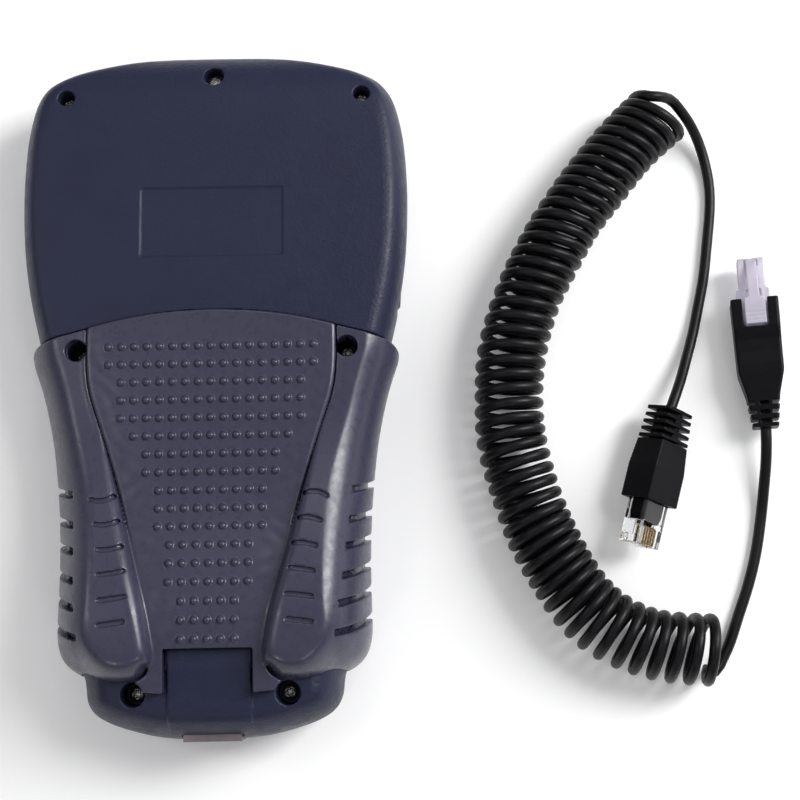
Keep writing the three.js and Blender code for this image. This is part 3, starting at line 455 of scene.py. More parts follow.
def rounded_rim(dist, w, z, z0, H, p=2.0):
    """implicit rounded shoulder: 0 on the rim, w inside; p below 2 flattens it"""
    u = np.clip(1 - dist / w, 1e-4, 3); v = np.clip((z - z0) / H, 1e-4, 4)
    r = (u ** p + v ** p) ** (1 / p)
    g = np.sqrt((u ** (p - 1) / w) ** 2 + (v ** (p - 1) / H) ** 2) * r ** (1 - p)
    return (r - 1) / np.maximum(g, 0.5 / np.maximum(w, H))


def grip_body(x, y, z, soft=True):
    ax = np.abs(x)
    zp, zl = panel_z(y), crest_z(y)
    wo = 8.5 + 3.5 * ramp((-5 - y) / 30); wi = 1.6 + 2.6 * ramp((-10 - y) / 55)
    d = on_map(side_map, x, y)
    f1 = np.where(z > 15.2, rounded_rim(d, (wo + 1.2) * (1 - 0.40 * ramp((33 - ax) / 15) * ramp((-50 - y) / 18)), z, 15.2, zl - 15.2, (1.7 + 1.1 * ramp((34 - ax) / 10) * ramp((-60 - y) / 12)) if soft else 2.0), -d)
    v = ax - seam_x(y)
    rise = np.maximum(zl - zp, 0.05)
    f2 = np.where(v < wi, rounded_rim(v, wi, z, zp - 0.4, rise + 0.4), z - zl)
    lobe = np.maximum(smax(f1, f2, 0.2 + 1.1 * ramp((-58 - y) / 14)) if soft else np.maximum(f1, f2), -v)
    flat = np.maximum(z - zp, v - 0.3)
    return smin(lobe, flat, 0.2 + 0.9 * ramp((-38 - y) / 30)) if soft else np.minimum(lobe, flat)


def head_arc(x):
    a = np.abs(x)
    return np.where(a < 33.4, 19.2 - 0.00412 * a * a, 14.6 - 0.262 * (a - 33.4))


HEAD_EDGE = edge_table([[0, 17.5], [0.35, 20.2], [0.9, 22.4], [1.8, 24.6], [3.1, 26.6], [4.8, 28], [6.8, 28.6]])
BASE_EDGE = edge_table([[0, 16.6], [0.45, 19.2], [1.2, 21.8], [2.4, 24.4], [4.0, 26.8], [6.0, 28.7], [8.2, 29.6]])
TONGUE_EDGE = edge_table([[0, 17.1], [0.45, 19.7], [1.2, 22.3], [2.4, 24.9], [4.0, 27.3], [6.0, 29.2], [8.2, 30.1], [9.4, 31.4]])
TOP_EDGE = edge_table([[0, 17.6], [2.1, 21.5], [3.9, 23.6], [6.4, 25.3], [9.4, 26.5], [13.4, 27.6], [19.4, 28.3], [24.0, 28.6]])
SCREWS = {"top_centre": (0.2, 87.3, 2.8, 20.4, 4.2), "top_left": (-40.9, 80.9, 2.3, 21.2, 3.7), "top_right": (41.7, 80.9, 2.3, 21.2, 3.7),
          "middle_left": (-36.7, 8.5, 2.85, 16.8, 4.2), "middle_right": (36.7, 8.5, 2.85, 16.8, 4.2),
          "lower_left": (-19.9, -83.1, 3.2, 20.6, 4.47), "lower_right": (20.4, -83.3, 3.2, 20.6, 4.47)}


def case_body(x, y, z):
    d = on_map(case_map, x, y)
    ax = np.abs(x)
    head = smax(HEAD_EDGE(d + 0 * z, z + 0 * d), TOP_EDGE(96.4 - y + 0 * z, z + 0 * y) + 0 * x, 0.8)
    head = np.maximum(head, head_arc(x) + 0.15 - y)
    waist = np.maximum(grip_body(x, y, z, False) + 3.1, np.maximum(y - 24, -77 - y))
    base = np.maximum(BASE_EDGE(d + 0 * z, z + 0 * d), np.maximum(y + 70.5, ax - 35.1))
    slope = np.interp(y, [-99, -88, -82, -77, -71.9], [29.3, 30.1, 30.5, 31.3, 31.4]).astype(np.float32)
    tongue = np.maximum(TONGUE_EDGE(d + 0 * z, z + 0 * d), np.maximum(z - slope, np.maximum(ax - 10.9, y + 71.9)))
    return np.minimum(np.minimum(head, waist), np.minimum(smin(base, tongue, 0.15), 1e3))


def round_rect(x, y, cx, cy, w, h, r):
    qx = np.abs(x - cx) - w / 2 + r; qy = np.abs(y - cy) - h / 2 + r
    return np.sqrt(np.maximum(qx, 0) ** 2 + np.maximum(qy, 0) ** 2) + np.minimum(np.maximum(qx, qy), 0) - r


def capsule(x, y, x0, y0, x1, y1, r, sag=0.0):
    """rounded slot from end to end, sagging by sag at mid length"""
    dx, dy = x1 - x0, y1 - y0
    L = math.hypot(dx, dy); ux, uy = dx / L, dy / L
    s = (x - x0) * ux + (y - y0) * uy; t = -(x - x0) * uy + (y - y0) * ux
    k = np.clip(s / L, 0, 1)
    t = t + sag * 4 * k * (1 - k) * (1 if ux > 0 else -1)
    return np.hypot(s - np.clip(s, 0, L), t) - r


# ------------------------------------------------------------------ rear case
hc = 0.37
lo = (-56.5, -97.5, 13.2); hi = (56.5, 98, 33.0)
X, Y, Z = grid(lo, hi, hc)
F = case_body(X, Y, Z)
inner = F + 2.2
shell = np.maximum(F, -inner)
for sx, sy, sr, seat, boss in SCREWS.values():
    rr = np.hypot(X - sx, Y - sy)
    shell = np.minimum(shell, np.maximum(rr - boss, F))
for sx, sy, sr, seat, boss in SCREWS.values():
    rr = np.hypot(X - sx, Y - sy)
    shell = smax(shell, -np.maximum(rr - sr, seat - Z), 0.25)
    shell = np.maximum(shell, 1.6 - rr + 0 * Z)
# label recess: flat floor, crisp walls
label = round_rect(X, Y, 0.0, 44.2, 39.4, 19.4, 0.5)
shell = np.maximum(shell, np.minimum(-label, Z - 28.0) + 0 * Z)
# opening for the jack in the end wall
def jack_cut(X, Y, Z):
    return np.maximum(np.maximum(np.abs(X) - 8.0, Y + 79.4), np.maximum(11.2 - Z, Z - 22.8))


shell = np.maximum(shell, -jack_cut(X, Y, Z))
shell = np.maximum(shell, 14.3 - Z)
v, q = skin(shell, lo, hc)
rear = mesh_object("rear_case_shell", v, q, "handset", "rear_case")
del shell, inner
print("rear", len(q))


# ------------------------------------------------------------------ materials
def node(nt, kind, x, y, **values):
    n = nt.nodes.new(kind); n.location = (x, y)
    for k, val in values.items():
        if hasattr(n, k):
            setattr(n, k, val)
        else:
            n.inputs[k.replace("_", " ")].default_value = val
    return n


def noise(nt, x, y, scale, detail=3.0, rough=0.5, coord=None):
    n = node(nt, "ShaderNodeTexNoise", x, y)
    n.inputs["Scale"].default_value = scale; n.inputs["Detail"].default_value = detail; n.inputs["Roughness"].default_value = rough
    nt.links.new(coord, n.inputs["Vector"])
    return n


def ramp_node(nt, x, y, fac, stops):
    r = node(nt, "ShaderNodeValToRGB", x, y)
    cr = r.color_ramp
    while len(cr.elements) < len(stops):
        cr.elements.new(0.5)
    for e, (p, c) in zip(cr.elements, stops):
        e.position = p; e.color = (*c, 1) if len(c) == 3 else c
    nt.links.new(fac, r.inputs[0])
    return r


def spread(nt, x, y, fac, lo, hi, a=0.3, b=0.7):
    m = node(nt, "ShaderNodeMapRange", x, y)
    m.inputs["From Min"].default_value = a; m.inputs["From Max"].default_value = b
    m.inputs["To Min"].default_value = lo; m.inputs["To Max"].default_value = hi
    nt.links.new(fac, m.inputs["Value"])
    return m


def bumped(nt, bs, layers):
    """layers: (height socket, strength, distance) chained"""
    last = None
    for i, (h, s, d) in enumerate(layers):
        b = node(nt, "ShaderNodeBump", 300, -300 - 180 * i)
        b.inputs["Strength"].default_value = s; b.inputs["Distance"].default_value = d
        nt.links.new(h, b.inputs["Height"])
        if last:
            nt.links.new(last.outputs[0], b.inputs["Normal"])
        last = b
    nt.links.new(last.outputs[0], bs.inputs["Normal"])


def plastic(name, dark, mid, light, rough, grain, grain_mm, depth=0.00006, swirl=None, coat=0.0, spec=0.5):
    """moulded plastic: fine grain, slow colour drift, uneven sheen"""
    mt, nt, bs = plain_material(name)
    tc = node(nt, "ShaderNodeTexCoord", -900, 0).outputs["Object"]
    slow = noise(nt, -650, 150, 38, 3, 0.55, tc)
    fine = noise(nt, -650, -150, 1000 / grain_mm, 3, 0.6, tc)
    mid_n = noise(nt, -650, -420, 260 / grain_mm, 2, 0.5, tc)
    col = ramp_node(nt, -300, 200, slow.outputs[0], [(0.32, dark), (0.5, mid), (0.68, light)])
    nt.links.new(col.outputs[0], bs.inputs["Base Color"])
    r = spread(nt, -300, -60, mid_n.outputs[0], rough - 0.06, rough + 0.07)
    nt.links.new(r.outputs[0], bs.inputs["Roughness"])
    bs.inputs["Specular IOR Level"].default_value = spec
    bs.inputs["Coat Weight"].default_value = coat
    layers = [(fine.outputs[0], grain, depth)]
    if swirl:
        layers.append((slow.outputs[0], swirl, 0.0004))
    bumped(nt, bs, layers)
    return mt


def metal(name, color, rough, scratch=0.25, grain_mm=0.4):
    mt, nt, bs = plain_material(name)
    tc = node(nt, "ShaderNodeTexCoord", -900, 0).outputs["Object"]
    a = noise(nt, -650, 150, 1000 / grain_mm, 4, 0.6, tc)
    b = noise(nt, -650, -150, 90, 3, 0.5, tc)
    dk = tuple(c * 0.72 for c in color)
    col = ramp_node(nt, -300, 200, b.outputs[0], [(0.3, dk), (0.6, color)])
    nt.links.new(col.outputs[0], bs.inputs["Base Color"])
    r = spread(nt, -300, -60, a.outputs[0], rough - 0.08, rough + 0.12)
    nt.links.new(r.outputs[0], bs.inputs["Roughness"])
    bs.inputs["Metallic"].default_value = 1.0
    bumped(nt, bs, [(a.outputs[0], scratch, 0.00003)])
    return mt


def clear_plastic(name, color, rough, trans, haze_mm=2.0):
    mt, nt, bs = plain_material(name)
    tc = node(nt, "ShaderNodeTexCoord", -900, 0).outputs["Object"]
    a = noise(nt, -650, 150, 1000 / haze_mm, 3, 0.5, tc)
    pale = tuple(min(1, c * 1.06) for c in color)
    col = ramp_node(nt, -300, 200, a.outputs[0], [(0.35, color), (0.65, pale)])
    nt.links.new(col.outputs[0], bs.inputs["Base Color"])
    r = spread(nt, -300, -60, a.outputs[0], max(rough - 0.03, 0.01), rough + 0.06)
    nt.links.new(r.outputs[0], bs.inputs["Roughness"])
    bs.inputs["Transmission Weight"].default_value = trans
    bs.inputs["IOR"].default_value = 1.49
    bumped(nt, bs, [(a.outputs[0], 0.15, 0.0001)])
    return mt


NAVY = plastic("navy_abs", (0.0132, 0.0160, 0.0405), (0.0140, 0.0170, 0.0430), (0.0150, 0.0182, 0.0455), 0.42, 0.9, 0.85, 0.00016, spec=0.27)
SLATE = plastic("slate_soft_plastic", (0.0355, 0.0340, 0.0635), (0.0375, 0.0360, 0.0665), (0.0400, 0.0385, 0.0700), 0.30, 0.2, 0.5, 0.00004, swirl=0.3)
CORD_BLACK = plastic("cord_jacket", (0.0022, 0.0021, 0.0030), (0.0028, 0.0027, 0.0038), (0.0038, 0.0037, 0.0050), 0.40, 0.3, 0.35, 0.00004, spec=0.22)
BOOT_BLACK = plastic("boot_pvc", (0.0030, 0.0030, 0.0040), (0.0038, 0.0038, 0.0050), (0.0050, 0.0050, 0.0066), 0.42, 0.35, 0.4, 0.00005, spec=0.12)
NICKEL = metal("nickel_plate", (0.66, 0.65, 0.62), 0.22)
STEEL = metal("tinned_steel", (0.62, 0.60, 0.57), 0.27)
SHIELD = metal("dull_shield", (0.34, 0.29, 0.30), 0.36)
GOLD = metal("gold_flash", (0.83, 0.60, 0.26), 0.24)
CLEAR = clear_plastic("clear_polycarbonate", (0.97, 0.975, 0.985), 0.03, 1.0)
FROST = clear_plastic("frosted_polycarbonate", (0.80, 0.765, 0.865), 0.40, 0.55)
WINDOW = clear_plastic("window_acrylic", (0.86, 0.9, 0.92), 0.03, 0.95)
DARK = plastic("dark_abs", (0.011, 0.011, 0.013), (0.014, 0.014, 0.016), (0.018, 0.018, 0.02), 0.45, 0.3, 0.5)
KEY = plastic("key_silicone", (0.34, 0.35, 0.38), (0.38, 0.39, 0.42), (0.42, 0.43, 0.46), 0.55, 0.3, 0.5)
KEY_BLUE = plastic("key_blue", (0.045, 0.075, 0.15), (0.055, 0.09, 0.18), (0.065, 0.1, 0.2), 0.5, 0.3, 0.5)
RUBBER = plastic("black_rubber", (0.013, 0.013, 0.014), (0.017, 0.017, 0.018), (0.022, 0.022, 0.023), 0.62, 0.4, 0.4)
PTT_GREY = plastic("ptt_rubber", (0.045, 0.043, 0.06), (0.055, 0.052, 0.07), (0.065, 0.062, 0.08), 0.6, 0.5, 0.5)
BOARD = plastic("board_green", (0.012, 0.075, 0.032), (0.016, 0.095, 0.042), (0.02, 0.115, 0.05), 0.35, 0.2, 0.9)
CHIP = plastic("chip_epoxy", (0.012, 0.012, 0.013), (0.016, 0.016, 0.017), (0.02, 0.02, 0.022), 0.6, 0.5, 0.2)
LCD = plastic("display_glass_green", (0.33, 0.40, 0.28), (0.36, 0.43, 0.30), (0.38, 0.45, 0.32), 0.12, 0.03, 2.0)
WHITE = plastic("diffuser_white", (0.72, 0.72, 0.70), (0.78, 0.78, 0.76), (0.82, 0.82, 0.80), 0.5, 0.15, 0.8)
AMBER = plastic("ribbon_film", (0.42, 0.2, 0.04), (0.5, 0.25, 0.06), (0.56, 0.29, 0.08), 0.25, 0.05, 1.5)
LEGEND = plastic("legend_ink", (0.03, 0.03, 0.035), (0.035, 0.035, 0.04), (0.04, 0.04, 0.045), 0.5, 0.1, 0.6)
LEGEND_PALE = plastic("legend_ink_pale", (0.6, 0.61, 0.63), (0.66, 0.67, 0.69), (0.7, 0.71, 0.73), 0.5, 0.1, 0.6)


def paint(ob, mt):
    ob.data.materials.clear()
    ob.data.materials.append(mt)


# ------------------------------------------------------------------ grip cover
hg = 0.31
lo = (-52.0, -84.5, 13.0); hi = (52.0, 20.5, 41.6)
X, Y, Z = grid(lo, hi, hg)
x2, y2 = np.broadcast_arrays(X[:, :, 0], Y[:, :, 0])
x2 = x2.astype(np.float32); y2 = y2.astype(np.float32)
# moulding marks: shallow flow ripples round the dimple field
half = np.interp(y2, [-72, -60, -50, -38, -25, -10, 10], [9, 10, 13, 17, 20, 25, 29])
ring = np.exp(-((np.abs(x2) - half - 1.6) / 2.6) ** 2) * (y2 > -74) * (y2 < 13)
rip = np.sin(x2 * 0.62 + 2.2 * np.sin(y2 * 0.31) + 0.9) * np.sin(y2 * 0.83 + 1.7 * np.sin(x2 * 0.27 + 1.1))
top_band = np.exp(-((y2 - 13.4 + 0.012 * np.abs(x2) ** 1.5) / 1.3) ** 2) * (np.abs(x2) < 30)
flow = 0.09 * ring * rip + 0.06 * top_band * np.sin(x2 * 0.45 + 1.3 * np.sin(x2 * 0.19)) + 0.018 * np.sin(x2 * 0.21 + 0.4) * np.sin(y2 * 0.17 + 1.2)
relief = flow.astype(np.float32)
body = grip_body(X, Y, Z)
on_panel = (np.abs(X) < seam_x(Y) - 0.4)
F = body - np.where(on_panel, relief[:, :, None], 0)
# rows of small domes, fewer per row towards the foot
xs, ys, zs = X[:, 0, 0], Y[0, :, 0], Z[0, 0, :]
for r, n in enumerate([17, 17, 15, 15, 15, 13, 11, 11, 9, 9, 9, 7, 7, 7, 5, 5, 5]):
    yy = 9.0 - 4.89 * r
    zc = float(panel_z(yy)) - 0.17
    for c in range(n):
        xx = (c - (n - 1) / 2) * 3.45
        i0, i1 = np.searchsorted(xs, (xx - 1.9, xx + 1.9)); j0, j1 = np.searchsorted(ys, (yy - 1.9, yy + 1.9)); k0, k1 = np.searchsorted(zs, (zc - 2, zc + 2.2))
        ball = np.sqrt((xs[i0:i1, None, None] - xx) ** 2 + (ys[None, j0:j1, None] - yy) ** 2 + (zs[None, None, k0:k1] - zc) ** 2) - 1.10
        F[i0:i1, j0:j1, k0:k1] = smin(F[i0:i1, j0:j1, k0:k1], ball, 0.14)
# dark line along the seam, closing up towards the foot
sv = np.abs(X) - seam_x(Y) + 0.1
F = F + 0.40 * np.exp(-(sv / 0.42) ** 2) * (1 - 0.85 * ramp((-30 - Y) / 26))
# slots across the lobe tops
for i, (x0, x1, yy, sag) in enumerate([(24.8, 31.4, -32.1, 0.8), (23.3, 29.8, -38.8, 0.5), (21.9, 28.7, -45.5, 0.4), (21.1, 28.1, -52.0, 0.15), (20.3, 27.7, -58.6, 0.1), (20.6, 27.6, -65.0, 0.0)]):
    for s in (-1, 1):
        a, b = (s * x0, yy + 0.45), (s * x1, yy - 0.35)
        c2 = capsule(x2, y2, a[0] + s * 0.45, a[1], b[0] - s * 0.45, b[1], 0.62, -sag * s)
        F = np.maximum(F, np.minimum(-c2[:, :, None], body + 0.95))
# grooves cut into the side walls, sloping down as they rise
for yy, xr, xl in ((-28.0, 37.6, 36.4), (-35.8, 36.7, 35.8), (-42.5, 35.8, 35.3), (-49.8, 34.8, 34.8), (-56.5, 33.8, 34.2), (-63.8, 32.8, 33.2)):
    run_y = Y - (yy - 0.22 * (Z - 16.0))
    cut = np.maximum(np.abs(run_y) * 0.976 - 0.95, np.where(X > 0, xr, xl) - np.abs(X))
    F = smax(F, np.minimum(-cut, body + 1.75), 0.12)
F = np.maximum(F, -on_map(grip_map, X, Y) + 0 * Z)
under = case_body(X, Y, Z)
F = np.maximum(F, 0.25 - under)
del under, body
for k in ("middle_left", "middle_right", "lower_left", "lower_right"):
    sx, sy, sr, seat, boss = SCREWS[k]
    F = smax(F, sr + 0.1 - np.hypot(X - sx, Y - sy) + 0 * Z, 0.3)
F = np.maximum(F, 14.3 - Z)
v, q = skin(F, lo, hg)
grip = mesh_object("grip_cover_shell", v, q, "handset", "grip_cover")
del F
print("grip", len(q))
paint(rear, NAVY)
paint(grip, SLATE)
paint(cord, CORD_BLACK)

CAD_PAINT = {
    "front_case": NAVY, "display_window": WINDOW, "display_frame": DARK, "display_glass": LCD, "display_backlight": WHITE, "display_ribbon": AMBER,
    "main_board": BOARD, "controller_chip": CHIP, "audio_chip": CHIP, "mic_capsule": STEEL, "mic_boot": RUBBER, "keypad_mat": RUBBER,
    "ptt_bar": PTT_GREY, "ptt_switch": DARK, "jack_shield": SHIELD, "jack_insert": DARK, "jack_contacts": GOLD,
    "plug_a_boot": BOOT_BLACK, "plug_b_boot": BOOT_BLACK, "plug_a_body": CLEAR, "plug_b_body": FROST, "plug_a_latch": CLEAR, "plug_b_latch": FROST,
    "plug_a_contacts": GOLD, "plug_b_contacts": GOLD}
for name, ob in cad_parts.items():
    mt = CAD_PAINT.get(name)
    if mt is None:
        mt = NICKEL if "screw" in name else KEY_BLUE if name.startswith("key_f") else KEY if name.startswith("key_") else DARK
    paint(ob, mt)


# ------------------------------------------------------------------ case screws
def screw_mesh(name, sx, sy, seat, turn):
    """pan head with a cross recess, threaded shank, all one skin"""
    h = 0.13
    b = seat + 0.3
    lo = (-2.4, -2.4, 5.8); hi = (2.4, 2.4, b + 2.4)
    X, Y, Z = grid(lo, hi, h)
    R = np.hypot(X, Y) + 0 * Z
    head = np.maximum(R - 1.95, b - Z)
    dome_r = 3.4
    head = smax(head, np.sqrt(R * R + (Z - (b + 1.72 - dome_r)) ** 2) - dome_r, 0.25)
    pitch = 1.1
    th = np.arctan2(Y, X) / (2 * np.pi)
    saw = np.abs(((Z / pitch - th) % 1.0) - 0.5) * 2
    shank = np.maximum(R - (1.05 + 0.38 * (1 - saw) * (Z < b - 1.5)), np.maximum(6.4 - Z, Z - b - 0.3))
    f = np.minimum(head, shank)
    c, s = math.cos(turn), math.sin(turn)
    U, V = X * c + Y * s, -X * s + Y * c
    deep = b + 1.72 - Z
    w = 0.40 - 0.13 * deep
    arm = np.minimum(np.maximum(np.abs(U) - (1.18 - 0.35 * deep), np.abs(V) - w), np.maximum(np.abs(V) - (1.18 - 0.35 * deep), np.abs(U) - w))
    arm = np.minimum(arm, np.hypot(U, V) - (0.62 - 0.25 * deep))
    f = np.maximum(f, -np.maximum(arm, b + 0.45 - Z))
    v, q = skin(f, lo, h)
    v = v + np.array([sx, sy, 0])
    ob = mesh_object(name, v, q, "handset", "case_screw_" + name.split("phillips_")[1])
    paint(ob, NICKEL)
    return ob


for i, (k, (sx, sy, sr, seat, boss)) in enumerate(SCREWS.items()):
    screw_mesh("phillips_" + k, sx, sy, seat, 0.35 + 0.9 * i)


# ------------------------------------------------------------------ front case
KEYS = []
for j, row in enumerate([["1", "2", "3", "a"], ["4", "5", "6", "b"], ["7", "8", "9", "c"], ["star", "0", "hash", "d"]]):
    for i, n in enumerate(row):
        KEYS.append(("key_" + n, 15 * (1.5 - i), 20 - 13 * j, 11.2, 7.6))
for i in range(4):
    KEYS.append(("key_f%d" % (i + 1), 17 * (1.5 - i), 37.5, 13.0, 6.0))
hf = 0.5
lo = (-56.5, -98, -1.0); hi = (56.5, 98, 15.0)
X, Y, Z = grid(lo, hi, hf)
FRONT_EDGE = edge_table([[0, -8], [0.15, -4.6], [0.5, -2.9], [1.2, -1.4], [2.2, -0.4], [3.2, 0.0]])
d = on_map(case_map, X, Y)
F = np.maximum(FRONT_EDGE(d + 0 * Z, -Z + 0 * d), Z - 14.0)
F = smax(F, -np.maximum(5.5 - d, Z - 2.0), 0.4)
F = np.maximum(F, -np.maximum(2.6 - d, 4.0 - Z))
cut = round_rect(X, Y, 0, 65.5, 66.6, 30.6, 2.4)
for n, kx, ky, kw, kh in KEYS:
    cut = np.minimum(cut, round_rect(X, Y, kx, ky, kw + 0.6, kh + 0.6, 1.4))
for dy in (-6, -3, 0, 3, 6):
    cut = np.minimum(cut, round_rect(X, Y, 0, -57 + dy, 8 if abs(dy) > 5 else 13, 1.2, 0.58))
F = smax(F, -np.maximum(cut + 0 * Z, Z - 6.0), 0.2)
for sx, sy, sr, seat, boss in SCREWS.values():
    rr = np.hypot(X - sx, Y - sy)
    F = np.minimum(F, np.maximum(np.maximum(rr - 3.2, 0.6 - d), np.maximum(2.5 - Z, Z - 13.8)))
    F = np.maximum(F, -np.maximum(rr - 1.6, 6.0 - Z))
F = np.maximum(F, -jack_cut(X, Y, Z))
ca, sa = math.cos(math.radians(-4.2)), math.sin(math.radians(-4.2))
U, V = (X - 53.05) * ca + (Y - 40) * sa, -(X - 53.05) * sa + (Y - 40) * ca
slot3 = np.maximum(np.maximum(np.abs(U + 2.5) - 6.5, np.abs(V) - 17.4), np.abs(Z - 7.6) - 4.2)
F = smax(F, -slot3, 0.25)
v, q = skin(F, lo, hf)
front = mesh_object("front_case_shell", v, q, "handset", "front_case")
paint(front, NAVY)
del F
print("front", len(q))


# ------------------------------------------------------------------ keys with a dished face and a raised legend
def key_skin(w, h):
    g = 0.24
    lo = (-w / 2 - 1.3, -h / 2 - 1.3, 0.4); hi = (w / 2 + 1.3, h / 2 + 1.3, 7.7)
    X, Y, Z = grid(lo, hi, g)
    wall = round_rect(X, Y, 0, 0, w, h, 1.5) + 0 * Z
    face = 1.0 + 0.28 * np.clip(1 - (X / (w / 2)) ** 2, 0, 1) * np.clip(1 - (Y / (h / 2)) ** 2, 0, 1) - Z
    f = smax(wall, face, 0.9)
    f = np.maximum(f, Z - 7.2)
    skirt = np.maximum(round_rect(X, Y, 0, 0, w + 1.8, h + 1.8, 1.2) + 0 * Z, np.maximum(4.4 - Z, Z - 5.4))
    return skin(np.minimum(f, skirt), lo, g)


def legend(name, text, x, y, z, size, body, mt):
    """raised character on the key face, read from the front"""
    fc = bpy.data.curves.new(name, "FONT")
    fc.body = text; fc.size = size; fc.align_x = "CENTER"; fc.align_y = "CENTER"; fc.extrude = 0.06; fc.resolution_u = 3
    tmp = bpy.data.objects.new(name, fc)
    bpy.context.scene.collection.objects.link(tmp)
    dg = bpy.context.evaluated_depsgraph_get()
    me = bpy.data.meshes.new_from_object(tmp.evaluated_get(dg))
    bpy.data.objects.remove(tmp)
    bm = bmesh.new(); bm.from_mesh(me)
    bmesh.ops.remove_doubles(bm, verts=bm.verts, dist=1e-5)
    for v in bm.verts:
        v.co = Vector(((x - v.co.x) / 1000.0, (y + v.co.y + SY) / 1000.0, (z - v.co.z) / 1000.0))
    bm.to_mesh(me); bm.free()
    ob = bpy.data.objects.new(name, me)
    bpy.context.scene.collection.objects.link(ob)
    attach(ob, body)
    paint(ob, mt)
    return ob


SHOWN = {"key_star": "*", "key_hash": "#"}
wide, fn = key_skin(11.2, 7.6), key_skin(13.0, 6.0)
for n, kx, ky, kw, kh in KEYS:
    v, q = fn if n.startswith("key_f") else wide
    ob = mesh_object(n + "_cap", v + np.array([kx, ky, 0]), q, n, n)
    paint(ob, KEY_BLUE if n.startswith("key_f") else KEY)
    t = SHOWN.get(n, n.split("_")[1].upper())
    legend(n + "_legend", t, kx, ky, 1.22, 3.6 if n.startswith("key_f") else 4.6, n, LEGEND_PALE if n.startswith("key_f") else LEGEND)


# ------------------------------------------------------------------ modular plugs, each in its own frame: +Y to the nose, +Z latch side
def local_frame(pos, ry, rz):
    cy_, sy_ = math.cos(math.radians(ry)), math.sin(math.radians(ry))
    cz_, sz_ = math.cos(math.radians(rz)), math.sin(math.radians(rz))
    Rz = np.array([[cz_, -sz_, 0], [sz_, cz_, 0], [0, 0, 1]]); Ry = np.array([[cy_, 0, sy_], [0, 1, 0], [-sy_, 0, cy_]])
    return Rz @ Ry, np.array(pos, float)


def placed(v, frame_):
    R, t = frame_
    return v @ R.T + t


def sized_rect(x, z, hw, hh, r):
    """rounded rectangle section, half sizes may vary along the plug"""
    qx = np.abs(x) - hw + r; qz = np.abs(z) - hh + r
    return np.sqrt(np.maximum(qx, 0) ** 2 + np.maximum(qz, 0) ** 2) + np.minimum(np.maximum(qx, qz), 0) - r


PLUG_A = local_frame((127.4, -8.1, 8.35), 140, 164)
PLUG_B = local_frame((154.75, -13.0, 6.65), -12, 1.9)
PH = 3.3
gp = 0.2


def plug_body(w, L2, L3, pins, step, slit, jacket):
    lo = (-w / 2 - 0.6, L2 - 8.6, -PH - 0.6); hi = (w / 2 + 0.6, L3 + 0.6, PH + 0.6)
    X, Y, Z = grid(lo, hi, gp)
    hw = w / 2 - (step * ramp((Y - L2 - 2.9) / 0.5) if step else 0)
    f = sized_rect(X, Z, hw, PH, 0.35)
    f = smax(f, np.abs(Y - (L2 - 8.2 + L3) / 2) - (L3 - L2 + 8.2) / 2, 0.3)
    # room for the cable jacket, then for the flat conductors
    f = np.maximum(f, -np.maximum(sized_rect(X, Z, w / 2 - 0.75, PH - 0.6, 0.6), np.maximum(Y - jacket, L2 - 9 - Y)))
    f = np.maximum(f, -np.maximum(sized_rect(X, Z + 0.5, pins * 0.51 + 0.2, 0.55, 0.2), Y - L3 + 5.4))
    for i in range(pins):
        x = (i - (pins - 1) / 2) * 1.02
        f = np.maximum(f, -np.maximum(np.abs(X - x) - 0.33, np.maximum(L3 - 5.2 - Y, np.maximum(Z + PH - 2.6, -PH - 1 - Z))))
    f = np.maximum(f, -np.maximum(np.abs(X) - (pins * 1.02) / 2 - 0.6, np.maximum(np.maximum(L3 - 6.5 - Y, Y - L3 + 5.0), Z + PH - 2.6)))
    # wedge that clamps the jacket: a pit on the latch side
    f = smax(f, -np.maximum(np.abs(X) - 2.1, np.maximum(np.abs(Y - L2 - 1.6) - 1.3, PH - 1.2 - Z)), 0.2)
    if slit:
        f = np.maximum(f, -np.maximum(np.abs(X) - 0.3, np.maximum(L3 - 2.4 - Y, PH - 1.3 - Z)))
    f = np.maximum(f, -np.maximum(np.abs(X) - 1.9, np.maximum(np.maximum(L3 - 2.6 - Y, Y - L3 + (0.6 if slit else -1)), PH - 1.5 - Z)))
    return skin(f, lo, gp)


def latch(L2, L3, bh, thumb):
    """flexible tongue: foot in the nose, arm back over the body, widening to the thumb end"""
    g = 0.16
    lo = (-thumb - 0.6, L2 - 8.4, PH - 1.9); hi = (thumb + 0.6, L3 + 0.4, bh + 1.9)
    X, Y, Z = grid(lo, hi, g)
    arm = np.array([[L3 - 0.4, PH - 1.2], [L3 - 0.4, PH + 0.2], [L3 - 6, PH + 2.4], [L3 - 6.8, PH + 2.7], [L2 - 7.6, bh + 0.9], [L2 - 7.6, bh], [L3 - 7.0, PH + 1.7], [L3 - 2.3, PH + 0.35], [L3 - 2.3, PH - 1.2], [L3 - 0.4, PH - 1.2]])
    yy, zz = np.meshgrid(Y[0, :, 0], Z[0, 0, :], indexing="ij")
    dist = line_distance(yy, zz, arm)
    s = np.where(inside(yy, zz, arm[:-1]), -dist, dist)[None]
    half = 1.5 + (thumb - 1.5) * ramp((L2 + 0.4 - Y) / 0.8)
    f = smax(s + 0 * X, np.abs(X) - half + 0 * Z, 0.25)
    # finger grooves on the thumb end
    for i in range(3):
        yc = L2 - 6.6 + 1.1 * i
        f = smax(f, -(np.hypot(Y - yc, Z - (bh + 1.12)) - 0.32) + 0 * X, 0.1)
    return skin(f, lo, g)


